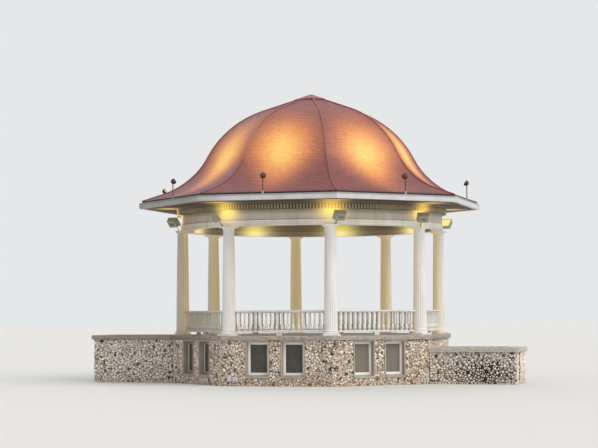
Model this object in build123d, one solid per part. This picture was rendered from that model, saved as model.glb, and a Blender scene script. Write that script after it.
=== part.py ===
from build123d import *
from math import atan2, cos, pi, radians, sin, tan
import os

# Park bandstand: a rubble podium in an octagon, eight columns, a round entablature and an ogee dome.
# Millimetres. The origin is on the ground at the octagon's axis, +Z is up.
# The octagon's faces look along the X and Y axes and the diagonals between them, its corners carry the columns.

# Plan
side_count = 8
column_circle_radius = 4570.0
ring_sides = 40

# Podium
ground_floor_thickness = 100.0
podium_wall_height = 1500.0
podium_wall_thickness = 400.0
wall_beyond_columns = 333.0
coping_thickness = 150.0
coping_overhang = 55.0
coping_bearing = 270.0

# Windows, two to a face, none where a wing stands against the podium
wing_sides = (0, 4)
window_spacing = 1210.0
window_shift = 70.0
window_width = 730.0
window_height = 1150.0
window_sill_height = 290.0
window_setback = 170.0
frame_bar = 78.0
frame_depth = 70.0
screen_thickness = 16.0
sill_front_height = 25.0
sill_back_height = 65.0

# Columns
plinth_width = 570.0
plinth_height = 60.0
base_height = 110.0
base_diameter = 540.0
shaft_bottom_diameter = 450.0
shaft_top_diameter = 370.0
entasis = 12.0
column_height = 3640.0
capital_height = 150.0
abacus_height = 55.0
abacus_width = 480.0
flute_count = 20
flute_depth = 16.0
turned_sides = 12

# Balustrade
baluster_count = 16
baluster_sides = 6
rail_height = 840.0
rail_thickness = 75.0
rail_width = 150.0
bottom_rail_lift = 110.0
bottom_rail_thickness = 50.0
bottom_rail_width = 120.0
baluster_foot_width = 96.0
baluster_belly_diameter = 120.0
baluster_neck_diameter = 62.0
foot_block_width = 200.0
foot_block_depth = 110.0

# Entablature, round in plan
beam_beyond_columns = 75.0
beam_within_columns = 325.0
fascia_height = 185.0
frieze_setback = 30.0
frieze_height = 350.0
cornice_bearing = 150.0
dentil_band_height = 160.0
dentil_band_projection = 75.0
bed_mould_height = 85.0
bed_mould_projection = 90.0
ceiling_thickness = 30.0

# Eave
eave_beyond_columns = 1520.0
soffit_thickness = 30.0
gutter_width = 130.0
gutter_height = 195.0
gutter_wall = 16.0
gutter_back_wall = 40.0
gutter_floor = 60.0

# Ogee dome, measured along a hip, its two turning points as shares of the eave's radius
roof_thickness = 60.0
roof_edge_setback = 95.0
haunch_share = 0.7044
haunch_rise = 590.0
haunch_curve = 2600.0
shoulder_share = 0.5024
shoulder_rise = 2774.0
shoulder_curve = 3300.0
apex_rise = 3810.0

# Cap over the roof's point
cap_radius = 560.0
cap_thickness = 45.0

# Spotlights on thin posts that stand in the gutter
post_diameter = 32.0
head_rise = 575.0
head_diameter = 190.0
head_depth = 130.0
head_tilt = 30.0
post_offset = 235.0
post_shift = 75.0
lamp_sides = 8

# Floodlights on the ledge that each abacus leaves outside the architrave
flood_width = 420.0
flood_height = 330.0
flood_depth = 185.0
flood_tilt = 38.0
flood_turn = 45.0
flood_reach = 350.0
flood_offset = 270.0
flood_rise = 275.0
bracket_width = 60.0
bracket_thickness = 14.0
bracket_offset = 150.0

# The floodlight on one column is aimed further out than the others
open_flood = 7
open_flood_turn = 15.0

# Outlet boxes low on one wall
outlet_size = 165.0
outlet_depth = 90.0
outlet_pitch = 190.0
outlet_from_corner = 260.0
outlet_height = 150.0

# Wings, one open planter on each side
wing_length = 2960.0
wing_depth = 2040.0
wing_wall_thickness = 400.0
right_wing_height = 1060.0
right_coping_thickness = 160.0
wing_joint_width = 240.0
wing_joint_depth = 110.0
wing_joint_from_front = 690.0

# Places worked out from the sizes above
half_turn = 180.0 / side_count
corner_cos = cos(radians(half_turn))
column_line = column_circle_radius * corner_cos
wall_face = column_line + wall_beyond_columns
wall_back = wall_face - podium_wall_thickness
coping_face = wall_face + coping_overhang
coping_back = wall_face - coping_bearing
floor_level = podium_wall_height + coping_thickness
beam_level = floor_level + column_height
frieze_level = beam_level + fascia_height
cornice_level = frieze_level + frieze_height
bed_mould_level = cornice_level + dentil_band_height
soffit_level = bed_mould_level + bed_mould_height
beam_outer_radius = column_circle_radius + beam_beyond_columns
beam_inner_radius = column_circle_radius - beam_within_columns
frieze_radius = beam_outer_radius - frieze_setback
cornice_inner_radius = frieze_radius - cornice_bearing
dentil_band_radius = frieze_radius + dentil_band_projection
bed_mould_radius = dentil_band_radius + bed_mould_projection
eave_corner_radius = column_circle_radius + eave_beyond_columns
gutter_face = eave_corner_radius * corner_cos
gutter_back = gutter_face - gutter_width
gutter_top = soffit_level + gutter_height
roof_edge_radius = eave_corner_radius - roof_edge_setback
haunch_radius = haunch_share * roof_edge_radius
shoulder_radius = shoulder_share * roof_edge_radius
roof_base = gutter_top + roof_thickness


def export(name, shape):
    export_step(shape, os.path.join("parts", name + ".step"))


def octagon(face_distance, height, level):
    """An octagonal plate with its faces square to the axes, standing on the level."""
    corner = face_distance / corner_cos
    plan = RegularPolygon(corner, side_count, rotation=half_turn)
    return Pos(0, 0, level) * extrude(plan, height)


def disc(radius, height, level):
    """A many-sided round plate standing on the level."""
    plan = RegularPolygon(radius, ring_sides)
    return Pos(0, 0, level) * extrude(plan, height)


def banded(rings):
    """A closed solid of flat bands between rings of corners, all with as many corners, lowest first."""
    faces = [Face(Wire.make_polygon(rings[0], close=True)), Face(Wire.make_polygon(rings[-1], close=True))]
    for lower, upper in zip(rings, rings[1:]):
        for i in range(len(lower)):
            j = (i + 1) % len(lower)
            faces.append(Face(Wire.make_polygon([lower[i], lower[j], upper[j], upper[i]], close=True)))
    return Solid(Shell(faces))


def turned(sections, sides):
    """A turned piece with few sides, from (height, diameter) pairs."""
    rings = []
    for z, diameter in sections:
        angles = [2 * pi * i / sides for i in range(sides)]
        rings.append([Vector(diameter / 2 * cos(a), diameter / 2 * sin(a), z) for a in angles])
    return banded(rings)


def face_place(index):
    """The middle of a face line at the axis, its +X looking outwards."""
    return Rot(0, 0, index * 2 * half_turn)


def corner_place(index):
    return Rot(0, 0, index * 2 * half_turn - half_turn)


# Podium
def podium_wall():
    """One mitred wall of the octagon, looking along +X."""
    slope = tan(radians(half_turn))
    plan = Polygon(
        (wall_back, -wall_back * slope),
        (wall_face, -wall_face * slope),
        (wall_face, wall_face * slope),
        (wall_back, wall_back * slope),
        align=None,
    )
    return extrude(plan, podium_wall_height)


def window_place(side):
    """The middle of an opening's foot on the frame's front plane, in the wall along +X."""
    return Pos(wall_face - window_setback, side * window_spacing / 2 - window_shift, window_sill_height)


def pierced_wall():
    """The same wall with its two window openings, a little to the left as seen from outside."""
    wall = podium_wall()
    standing = (Align.CENTER, Align.CENTER, Align.MIN)
    for side in (-1, 1):
        wall -= window_place(side) * Box(2 * podium_wall_thickness, window_width, window_height, align=standing)
    return wall


def window_frame():
    """A square wooden frame round the opening, its front face on the local YZ plane."""
    bottom = sill_back_height
    height = window_height - bottom
    outside = Box(frame_depth, window_width, height, align=(Align.MAX, Align.CENTER, Align.MIN))
    hole = Box(3 * frame_depth, window_width - 2 * frame_bar, height - 2 * frame_bar)
    return Pos(0, 0, bottom) * outside - Pos(0, 0, bottom + height / 2) * hole


def window_screen():
    bottom = sill_back_height + frame_bar
    width = window_width - 2 * frame_bar
    height = window_height - bottom - frame_bar
    pane = Box(screen_thickness, width, height, align=(Align.CENTER, Align.CENTER, Align.MIN))
    return Pos(-frame_depth / 2, 0, bottom) * pane


def window_sill():
    """The sloped stone under a frame, from the frame's back to the wall's face."""
    profile = Polygon(
        (-frame_depth, 0),
        (window_setback, 0),
        (window_setback, sill_front_height),
        (0, sill_back_height),
        (-frame_depth, sill_back_height),
        align=None,
    )
    stone = extrude(Plane.XZ * profile, window_width / 2, both=True)
    return stone


# Columns
def fluted_ring(z, diameter):
    """A circle of arrises with a groove between each pair, shallower where the shaft is thinner."""
    points = []
    valley = diameter / 2 * (1 - 2 * flute_depth / shaft_bottom_diameter)
    for i in range(flute_count):
        for angle, radius in ((i, diameter / 2), (i + 0.5, valley)):
            turn = 2 * pi * angle / flute_count
            points.append(Vector(radius * cos(turn), radius * sin(turn), z))
    return points


def column():
    """Plinth, turned base, tapered fluted shaft, turned capital and square abacus, on z = 0."""
    shaft_base = plinth_height + base_height
    shaft_top = column_height - capital_height
    abacus_base = column_height - abacus_height
    plinth = Box(plinth_width, plinth_width, plinth_height, align=(Align.CENTER, Align.CENTER, Align.MIN))
    foot = turned(
        [
            (plinth_height, base_diameter - 40),
            (plinth_height + base_height * 0.4, base_diameter),
            (shaft_base, shaft_bottom_diameter + 12),
        ],
        turned_sides,
    )
    middle = (shaft_base + shaft_top) / 2
    swell = (shaft_bottom_diameter + shaft_top_diameter) / 2 + entasis
    shaft = banded(
        [
            fluted_ring(shaft_base, shaft_bottom_diameter),
            fluted_ring(middle, swell),
            fluted_ring(shaft_top, shaft_top_diameter),
        ]
    )
    capital = turned(
        [
            (shaft_top, shaft_top_diameter + 24),
            (shaft_top + 30, shaft_top_diameter + 12),
            (abacus_base - 18, abacus_width - 20),
            (abacus_base, abacus_width - 8),
        ],
        turned_sides,
    )
    abacus = Box(abacus_width, abacus_width, abacus_height, align=(Align.CENTER, Align.CENTER, Align.MIN))
    return plinth + foot + shaft + capital + Pos(0, 0, abacus_base) * abacus


# Balustrade
def baluster(height):
    """A turned baluster with its belly low and a long taper to the neck."""
    sections = [
        (0, baluster_foot_width),
        (0.2 * height, baluster_belly_diameter),
        (height, baluster_neck_diameter),
    ]
    return turned(sections, baluster_sides)


def balustrade():
    """One bay between two columns, looking along +X, from the floor up."""
    span = 2 * column_circle_radius * sin(radians(half_turn))
    clear = span - shaft_bottom_diameter
    low_clear = span - base_diameter
    bottom = bottom_rail_lift + bottom_rail_thickness
    top = rail_height - rail_thickness
    low = Align.MIN
    mid = Align.CENTER
    bay = Pos(0, 0, top) * Box(rail_width, clear, rail_thickness, align=(mid, mid, low))
    bottom_rail = Box(bottom_rail_width, low_clear, bottom_rail_thickness, align=(mid, mid, low))
    bay += Pos(0, 0, bottom_rail_lift) * bottom_rail
    bay += Box(foot_block_depth, foot_block_width, bottom_rail_lift, align=(mid, mid, low))
    pitch = low_clear / baluster_count
    posts = []
    for i in range(baluster_count):
        along = (i + 0.5) * pitch - low_clear / 2
        posts.append(Pos(0, along, bottom) * baluster(top - bottom))
    return bay + posts


# Entablature and ceiling
def ring(outer, inner, height, level):
    return disc(outer, height, level) - disc(inner, height, level)


def architrave():
    return ring(beam_outer_radius, beam_inner_radius, fascia_height, beam_level)


def frieze():
    return ring(frieze_radius, beam_inner_radius, frieze_height, frieze_level)


def dentil_cornice():
    """The band that carries the dentils and the bed mould that flares to the soffit."""
    band = disc(dentil_band_radius, dentil_band_height, cornice_level)
    flare = turned(
        [(bed_mould_level, 2 * dentil_band_radius), (soffit_level, 2 * bed_mould_radius)],
        ring_sides,
    )
    height = dentil_band_height + bed_mould_height
    return band + flare - disc(cornice_inner_radius, height, cornice_level)


def ceiling():
    return disc(cornice_inner_radius, ceiling_thickness, cornice_level)


# Eave
def soffit():
    boards = octagon(gutter_back, soffit_thickness, soffit_level)
    return boards - disc(dentil_band_radius, soffit_thickness, soffit_level)


def gutter():
    """An octagonal box gutter with its trough open at the top."""
    body = octagon(gutter_face, gutter_height, soffit_level) - octagon(gutter_back, gutter_height, soffit_level)
    trough_level = soffit_level + gutter_floor
    trough = octagon(gutter_face - gutter_wall, gutter_height, trough_level)
    trough -= octagon(gutter_back + gutter_back_wall, gutter_height, trough_level)
    return body - trough


# Dome
def dome_outline(inset, base):
    """Half of the roof's section through two opposite faces, closed down to the base level."""
    corners = [
        (roof_edge_radius, roof_base),
        (haunch_radius, roof_base + haunch_rise),
        (shoulder_radius, roof_base + shoulder_rise),
        (0, roof_base + apex_rise),
    ]
    slopes = []
    for (r0, z0), (r1, z1) in zip(corners, corners[1:]):
        slopes.append(atan2(z1 - z0, (r0 - r1) * corner_cos))
    points = [(r * corner_cos, z) for r, z in corners]
    moved = [(points[0][0] - inset * tan(slopes[0] / 2), points[0][1] - inset)]
    for i in (1, 2):
        turn = (slopes[i] - slopes[i - 1]) / 2
        lean = (slopes[i] + slopes[i - 1]) / 2
        reach = inset / cos(turn)
        moved.append((points[i][0] - reach * sin(lean), points[i][1] - reach * cos(lean)))
    moved.append((0, points[3][1] - inset / cos(slopes[2])))
    curves = [haunch_curve + inset, shoulder_curve - inset]
    line = FilletPolyline(*moved, radius=[curves[0], curves[1]])
    wall = Polyline(moved[3], (0, base), (moved[0][0], base), moved[0])
    return line, wall


def dome_body(inset, base):
    """The octagonal body where four arched bars cross, each square to one pair of faces."""
    line, wall = dome_outline(inset, base)
    half = make_face(Plane.XZ * (line + wall))
    bar = extrude(half, eave_corner_radius, both=True)
    bar += mirror(bar, about=Plane.YZ)
    body = bar
    for i in range(1, side_count // 2):
        body &= Rot(0, 0, i * 2 * half_turn) * bar
    return body


def dome_roof():
    return dome_body(0, gutter_top) - dome_body(roof_thickness, gutter_top - roof_thickness)


def apex_cap():
    """A low octagonal cap that covers the roof's point and the ends of the hips."""
    cap = dome_body(-cap_thickness, gutter_top) - dome_body(0, gutter_top)
    return cap & octagon(cap_radius * corner_cos, apex_rise * 2, roof_base)


# Lamps
def roof_spotlight():
    """A round lamp head on a thin post, facing the dome along -X, the post's foot at the origin."""
    rise = head_rise + gutter_height - gutter_floor
    post = extrude(RegularPolygon(post_diameter / 2, lamp_sides), rise)
    sections = [(0, 0.45 * head_diameter), (0.55 * head_depth, head_diameter), (head_depth, head_diameter)]
    head = Rot(0, -90 + head_tilt, 0) * Pos(0, 0, -head_depth / 2) * turned(sections, lamp_sides)
    return post + Pos(0, 0, rise) * head


def floodlight(side, turn):
    """A box lamp beside a column's top, its glass turned up and in, on a bracket from the abacus."""
    aim = Rot(0, 0, side * turn) * Rot(0, flood_tilt, 0)
    housing = aim * Box(flood_depth, flood_width, flood_height)
    middle = (flood_reach, side * flood_offset, flood_rise)
    ledge = (abacus_width / 2 + beam_outer_radius - column_circle_radius) / 2
    foot = (ledge, side * bracket_offset)
    standing = (Align.CENTER, Align.CENTER, Align.MIN)
    plate = Pos(*foot, 0) * Box(bracket_width, bracket_width, bracket_thickness, align=standing)
    lean = Vector(middle[0] - foot[0], middle[1] - foot[1], middle[2])
    start = Plane(origin=(foot[0], foot[1], bracket_thickness), z_dir=lean)
    arm = extrude(start * Rectangle(bracket_thickness, bracket_width * 0.6), lean.length)
    return Pos(*middle) * housing + plate + arm


def outlet(place):
    box = Box(outlet_depth, outlet_size, outlet_size, align=(Align.MIN, Align.CENTER, Align.MIN))
    return place * box


# Wings
def wing_walls(height):
    """Three walls of a planter, on +X of the podium, the front one flush with the podium's corner."""
    start = -wall_face * tan(radians(half_turn))
    corner = (Align.MIN, Align.MIN, Align.MIN)
    block = Box(wing_length, wing_depth, height, align=corner)
    bed = Box(wing_length - wing_wall_thickness, wing_depth - 2 * wing_wall_thickness, 2 * height, align=corner)
    return Pos(wall_face, start, 0) * (block - Pos(0, wing_wall_thickness, -height / 2) * bed)


def wing_coping(height, thickness, begin):
    start = -wall_face * tan(radians(half_turn)) - coping_overhang
    corner = (Align.MIN, Align.MIN, Align.MIN)
    length = wall_face + wing_length + coping_overhang - begin
    depth = wing_depth + 2 * coping_overhang
    rim = wing_wall_thickness + coping_overhang
    slab = Box(length, depth, thickness, align=corner)
    bed = Box(length - rim, depth - 2 * rim, 3 * thickness, align=corner)
    return Pos(begin, start, height) * (slab - Pos(0, rim, -thickness) * bed)


def right_wing_walls():
    walls = wing_walls(right_wing_height)
    start = -wall_face * tan(radians(half_turn)) + wing_joint_from_front
    joint = Box(wing_joint_depth, wing_joint_width, 3 * right_wing_height, align=(Align.MAX, Align.CENTER, Align.CENTER))
    return walls - Pos(wall_face + wing_length, start, 0) * joint


def main():
    os.makedirs("parts", exist_ok=True)
    ground_floor = octagon(wall_back, ground_floor_thickness, 0)
    export("ground_floor", ground_floor)
    plain = podium_wall()
    pierced = pierced_wall()
    pillar = column()
    bay = balustrade()
    frames = []
    screens = []
    sills = []
    for i in range(side_count):
        export(f"column_{i + 1}", corner_place(i) * Pos(column_circle_radius, 0, floor_level) * pillar)
        export(f"balustrade_{i + 1}", face_place(i) * Pos(column_line, 0, floor_level) * bay)
        if i in wing_sides:
            export(f"podium_wall_{i + 1}", face_place(i) * plain)
            continue
        export(f"podium_wall_{i + 1}", face_place(i) * pierced)
        for side in (-1, 1):
            place = face_place(i) * window_place(side)
            frames.append(place * window_frame())
            screens.append(place * window_screen())
            sills.append(place * window_sill())
    coping = octagon(coping_face, coping_thickness, podium_wall_height)
    export("podium_coping", coping - octagon(coping_back, coping_thickness, podium_wall_height))
    export("deck_floor", octagon(coping_back, coping_thickness, podium_wall_height))
    export("window_frames", Compound(frames))
    export("window_screens", Compound(screens))
    export("window_sills", Compound(sills))
    export("architrave", architrave())
    export("frieze", frieze())
    export("dentil_cornice", dentil_cornice())
    export("ceiling", ceiling())
    export("soffit", soffit())
    export("gutter", gutter())
    export("dome_roof", dome_roof())
    export("apex_cap", apex_cap())
    spots = []
    floods = []
    post_line = gutter_face - gutter_wall - 0.6 * post_diameter
    for i in range(side_count):
        side = 1 if i % 2 else -1
        stand = Pos(post_line, side * post_offset + post_shift, soffit_level + gutter_floor)
        spots.append(face_place(i) * stand * roof_spotlight())
        turn = open_flood_turn if i == open_flood else flood_turn
        floods.append(corner_place(i) * Pos(column_circle_radius, 0, beam_level) * floodlight(side, turn))
    export("roof_spotlights", Compound(spots))
    export("column_floodlights", Compound(floods))
    boxes = []
    wall_end = wall_face * tan(radians(half_turn))
    for i in range(2):
        along = outlet_from_corner + i * outlet_pitch - wall_end
        boxes.append(outlet(face_place(6) * Pos(wall_face, along, outlet_height)))
    export("outlet_boxes", Compound(boxes))
    export("right_wing_walls", right_wing_walls())
    export("right_wing_coping", wing_coping(right_wing_height, right_coping_thickness, wall_face))
    left_walls = mirror(wing_walls(podium_wall_height), about=Plane.YZ)
    left_coping = mirror(wing_coping(podium_wall_height, coping_thickness, coping_face), about=Plane.YZ)
    export("left_wing_walls", left_walls)
    export("left_wing_coping", left_coping)


main()
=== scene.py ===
import bpy
from functools import partial
import math
import numpy as np
from mathutils import Matrix, Vector


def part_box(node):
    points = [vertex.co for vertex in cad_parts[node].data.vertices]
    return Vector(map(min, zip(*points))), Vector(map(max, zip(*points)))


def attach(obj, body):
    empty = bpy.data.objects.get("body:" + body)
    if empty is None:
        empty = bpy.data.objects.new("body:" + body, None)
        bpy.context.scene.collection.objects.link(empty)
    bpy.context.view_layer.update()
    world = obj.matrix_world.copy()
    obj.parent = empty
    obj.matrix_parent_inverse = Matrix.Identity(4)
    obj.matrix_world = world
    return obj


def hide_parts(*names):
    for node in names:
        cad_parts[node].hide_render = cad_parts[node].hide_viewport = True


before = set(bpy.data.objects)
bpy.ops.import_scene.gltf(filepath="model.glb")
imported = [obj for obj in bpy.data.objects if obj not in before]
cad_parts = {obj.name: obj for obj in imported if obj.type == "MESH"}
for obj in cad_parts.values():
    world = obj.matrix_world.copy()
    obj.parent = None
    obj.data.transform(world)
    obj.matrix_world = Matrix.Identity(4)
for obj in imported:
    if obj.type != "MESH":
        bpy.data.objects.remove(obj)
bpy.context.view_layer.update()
print("frame loaded with", len(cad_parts), "nodes")

# Places read from the frame, in metres
halfTurn = math.pi / 8
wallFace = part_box("podium_wall_1")[1].x
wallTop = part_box("podium_wall_1")[1].z
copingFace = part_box("podium_coping")[1].x
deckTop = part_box("deck_floor")[1].z
beamLevel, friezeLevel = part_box("architrave")[0].z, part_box("frieze")[0].z
beamRadius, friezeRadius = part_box("architrave")[1].x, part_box("frieze")[1].x
corniceLevel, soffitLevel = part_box("dentil_cornice")[0].z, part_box("soffit")[0].z
gutterFace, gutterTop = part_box("gutter")[1].x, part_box("gutter")[1].z
roofEdge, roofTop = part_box("dome_roof")[1].x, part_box("dome_roof")[1].z
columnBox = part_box("column_1")
columnRadius = math.hypot(columnBox[0].x + columnBox[1].x, columnBox[0].y + columnBox[1].y) / 2
columnLine = columnRadius * math.cos(halfTurn)


# Arrays of points and faces

def turnPoints(points, degrees):
    # x' = x cos a - y sin a, y' = x sin a + y cos a
    a = math.radians(degrees)
    x, y, z = np.moveaxis(points, -1, 0)
    return np.stack([x * math.cos(a) - y * math.sin(a), x * math.sin(a) + y * math.cos(a), z], -1)


def moved(shape, degrees=0.0, by=(0, 0, 0)):
    return turnPoints(shape[0] + np.array(by, float), degrees), shape[1]


def joined(shapes):
    # points are stacked, and each shape's face numbers are shifted by the points before it
    starts = np.cumsum([0] + [len(s[0]) for s in shapes[:-1]])
    faces = [np.where(s[1] < 0, -1, s[1] + n) for s, n in zip(shapes, starts)]
    return np.concatenate([s[0] for s in shapes]), np.concatenate(faces)


def gridShape(points, wrapRows=False, wrapCols=False):
    # a face joins four neighbours of a rows x columns grid of points
    rows, cols = points.shape[:2]
    i, j = np.meshgrid(np.arange(rows - (not wrapRows)), np.arange(cols - (not wrapCols)), indexing="ij")
    k, m = (i + 1) % rows, (j + 1) % cols
    faces = np.stack([i * cols + j, i * cols + m, k * cols + m, k * cols + j], -1).reshape(-1, 4)
    return points.reshape(-1, 3), faces


def tipped(shape, ring, tip, up):
    # the shape with triangles from a closed ring of its points to a tip, the fourth number of each being -1
    after, last = np.roll(ring, -1), np.full(len(ring), len(shape[0]))
    pair = (ring, after) if up else (after, ring)
    faces = np.stack([*pair, last, np.full(len(ring), -1)], -1)
    return np.concatenate([shape[0], [tip]]), np.concatenate([shape[1], faces])


def tubeShape(rings, start=True, end=True):
    # closed rings of points joined into a bar, closed at the ends that are asked for
    shape, ring = gridShape(rings, wrapCols=True), np.arange(rings.shape[1])
    if start:
        shape = tipped(shape, ring, rings[0].mean(0), False)
    if end:
        shape = tipped(shape, ring + (len(rings) - 1) * len(ring), rings[-1].mean(0), True)
    return shape


def roundPlan(angle):
    return np.ones_like(angle)


def eightPlan(angle):
    # the octagon whose faces stand at distance 1: 1 / cos(angle from the middle of the nearest face)
    return 1 / np.cos((angle + halfTurn) % (2 * halfTurn) - halfTurn)


def octagonCorners(distance):
    # corners of the octagon whose faces stand at this distance, from the one before the middle of face 1
    corner = distance / math.cos(halfTurn)
    turns = [(2 * k - 1) * halfTurn for k in range(8)]
    return [(corner * math.cos(a), corner * math.sin(a)) for a in turns]


def turnedShape(profile, segments, plan=roundPlan, closed=False, start=0.0):
    # (radius, height) pairs carried round the axis: x = r p(a) cos a, y = r p(a) sin a
    profile = np.array(profile, float)
    low, high = profile[0, 0] < 1e-6, profile[-1, 0] < 1e-6
    body = profile if closed else profile[int(low):len(profile) - int(high)]
    a = start + np.arange(segments) / segments * 2 * math.pi
    r = body[:, :1] * plan(a)[None]
    points = np.stack([r * np.cos(a), r * np.sin(a), np.broadcast_to(body[:, 1:], r.shape)], -1)
    shape, ring = gridShape(points, wrapRows=closed, wrapCols=True), np.arange(segments)
    if low and not closed:
        shape = tipped(shape, ring, (0, 0, profile[0, 1]), False)
    if high and not closed:
        shape = tipped(shape, ring + (len(body) - 1) * segments, (0, 0, profile[-1, 1]), True)
    return shape


def eightSided(profile, across=1, closed=True):
    # an outline carried round the octagon, with so many faces to a side
    return turnedShape(profile, 8 * across, eightPlan, closed, -halfTurn)


def blockShape(size, center, ease=0.004):
    # a box whose edges are all cut back by ease
    hx, hy, hz = np.array(size) / 2
    rows = []
    for inset, z in ((ease, -hz), (0, -hz + ease), (0, hz - ease), (ease, hz)):
        x, y, e = hx - inset, hy - inset, ease
        ring = [(x, -y + e), (x, y - e), (x - e, y), (e - x, y)]
        rows.append([(*p, z) for p in ring] + [(-x, -y, z) for x, y in ring])
    return tubeShape(np.array(rows) + np.array(center))


def carriedShape(profile, corners, closed, insets=None):
    # a closed (outward, height) outline carried along a path, mitred at its corners, and shrunk by the insets
    profile, corners = np.array(profile, float), np.array(corners, float)
    run = np.roll(corners, -1, 0) - corners
    normal = np.stack([run[:, 1], -run[:, 0]], -1) / np.linalg.norm(run, axis=1, keepdims=True)
    before = np.roll(normal, 1, 0)
    if not closed:
        normal[-1] = before[-1] = normal[-2]
        before[0] = normal[0]
    mitre = (normal + before) / (1 + np.sum(normal * before, -1, keepdims=True))
    edge = np.roll(profile, -1, 0) - np.roll(profile, 1, 0)
    out = np.stack([edge[:, 1], -edge[:, 0]], -1) / np.linalg.norm(edge, axis=1, keepdims=True)
    insets = np.zeros(len(corners)) if insets is None else np.array(insets, float)
    shaped = profile[:, None] - out[:, None] * insets[None, :, None]
    points = np.concatenate([corners[None] + mitre[None] * shaped[..., :1], shaped[..., 1:]], -1)
    shape, rows = gridShape(points, wrapRows=True, wrapCols=closed), np.arange(len(profile)) * len(corners)
    if closed:
        return shape
    shape = tipped(shape, rows[::-1], points[:, 0].mean(0), True)
    return tipped(shape, rows + len(corners) - 1, points[:, -1].mean(0), True)


def curveThrough(points, per):
    # a smooth line through the points: cubic pieces with slopes from their neighbours
    p = np.array(points, float)
    q = np.concatenate([2 * p[:1] - p[1:2], p, 2 * p[-1:] - p[-2:-1]])
    t = np.arange(per)[None, :, None] / per
    a, b, c, d = (q[i:i + len(p) - 1, None] for i in range(4))
    second, third = 2 * a - 5 * b + 4 * c - d, 3 * b - a - 3 * c + d
    line = 0.5 * (2 * b + (c - a) * t + second * t ** 2 + third * t ** 3)
    return np.concatenate([line.reshape(-1, p.shape[1]), p[-1:]])


def fromPoint(x, z, steps):
    # points given by their steps from one point
    return [(x + right, z + up) for right, up in steps]


def arcPoints(x, z, radius, start, end, count):
    # (x, z) points of an arc between two angles, about its middle
    return [(x + radius * math.cos(a), z + radius * math.sin(a)) for a in np.linspace(start, end, count)]


def circlePoints(count):
    # cosines and sines of evenly spaced angles: count x 2
    a = np.arange(count) / count * 2 * math.pi
    return np.stack([np.cos(a), np.sin(a)], -1)


# Materials

def linearColor(code):
    # sRGB hex to linear: c / 12.92 below 0.04045, else ((c + 0.055) / 1.055) ^ 2.4
    c = np.array([int(code[i:i + 2], 16) for i in (1, 3, 5)]) / 255
    return (*np.where(c <= 0.04045, c / 12.92, ((c + 0.055) / 1.055) ** 2.4).tolist(), 1.0)


def feed(node, inputs):
    # inputs by name or number: numbers, hex colours or other nodes' outputs
    for key, value in inputs.items():
        if isinstance(value, bpy.types.NodeSocket):
            node.id_data.links.new(value, node.inputs[key])
        else:
            node.inputs[key].default_value = linearColor(value) if isinstance(value, str) else value


def addNode(tree, kind, *values, output=0, stops=(), **settings):
    # a kind in capitals is a Math node's operation; values go to the inputs in order or as a dictionary says
    if kind.isupper():
        kind, settings = "Math", {"operation": kind}
    node = tree.nodes.new("ShaderNode" + kind)
    for key, value in settings.items():
        setattr(node, key, value)
    for stop in stops[2:]:
        node.color_ramp.elements.new(0.5)
    for i, (place, code) in enumerate(stops):
        node.color_ramp.elements[i].position = place
        node.color_ramp.elements[i].color = linearColor(code)
    feed(node, values[0] if values and isinstance(values[0], dict) else dict(enumerate(values)))
    return node.outputs[output]


def newMaterial(name, color, roughness, metallic=0.0):
    # a material, and what adds a node to it
    material = bpy.data.materials.new(name)
    material.use_nodes = True
    inputs = {"Base Color": color, "Roughness": roughness, "Metallic": metallic}
    feed(material.node_tree.nodes["Principled BSDF"], inputs)
    return material, partial(addNode, material.node_tree)


def dress(material, color, height, distance, light=None, strength=0.0):
    # the colour, the bump and its depth in metres, and the light that the material gives off
    tree = material.node_tree
    inputs = {"Base Color": color, "Normal": addNode(tree, "Bump", {"Height": height, "Distance": distance})}
    if light is not None:
        inputs.update({"Emission Color": light, "Emission Strength": strength})
    feed(tree.nodes["Principled BSDF"], inputs)
    return material


def stained(add, color, tint, value, low=0.0, high=1.0, most=1.0, blend="MIX"):
    # the colour with a tint over it: none where the value is low, and its most where the value is high
    share = add("MapRange", value, low, high, 0.0, most)
    return add("Mix", {0: share, 6: color, 7: tint}, output=2, data_type="RGBA", blend_type=blend)


def blotches(add, size, detail=3.0, stretch=(1, 1, 1)):
    # a cloudy pattern, its size the width of one blotch in metres
    point = add("Mapping", {"Vector": add("TexCoord", output="Object"), "Scale": stretch})
    return add("TexNoise", {"Vector": point, "Scale": 1 / size, "Detail": detail, "Roughness": 0.55})


def pointParts(add):
    # x, y and z of a point
    return add("SeparateXYZ", add("TexCoord", output="Object")).node.outputs


def polarParts(add):
    # radius, angle and height of a point about the bandstand's axis
    x, y, z = pointParts(add)
    square = add("ADD", add("MULTIPLY", x, x), add("MULTIPLY", y, y))
    return add("SQRT", square), add("ARCTAN2", y, x), z


def faceParts(add, angle):
    # the number of the octagon's nearest face, and the turn from its middle
    face = add("ROUND", add("DIVIDE", angle, 2 * halfTurn))
    return face, add("SUBTRACT", angle, add("MULTIPLY", face, 2 * halfTurn))


def facing(add, way):
    # cosine of the angle between a direction and the way that a surface looks
    return add("VectorMath", add("TexCoord", output="Normal"), way, output="Value", operation="DOT_PRODUCT")


def bell(add, value, middle, width):
    # e ^ -((value - middle) / width) ^ 2
    d = add("DIVIDE", add("SUBTRACT", value, middle), width)
    return add("EXPONENT", add("MULTIPLY", add("MULTIPLY", d, d), -1.0))


def pool(add, across, upward):
    # a soft round spot, from the value, middle and width of a bell each way
    return add("MULTIPLY", bell(add, *across), bell(add, *upward))


washPlace = {
    "turn": math.radians(22.3),  # of each column from the nearest diagonal
    "across": 0.46, "height": soffitLevel - 0.28, "spread": 0.38,
}


def lampWash(add):
    # how near a point is to a column's floodlit head
    radius, angle, z = polarParts(add)
    turn = add("PINGPONG", add("SUBTRACT", angle, math.pi / 4), math.pi / 4)
    across = add("MULTIPLY", add("SUBTRACT", turn, washPlace["turn"]), radius)
    return pool(add, (across, 0.0, washPlace["across"]), (z, washPlace["height"], washPlace["spread"]))


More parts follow.
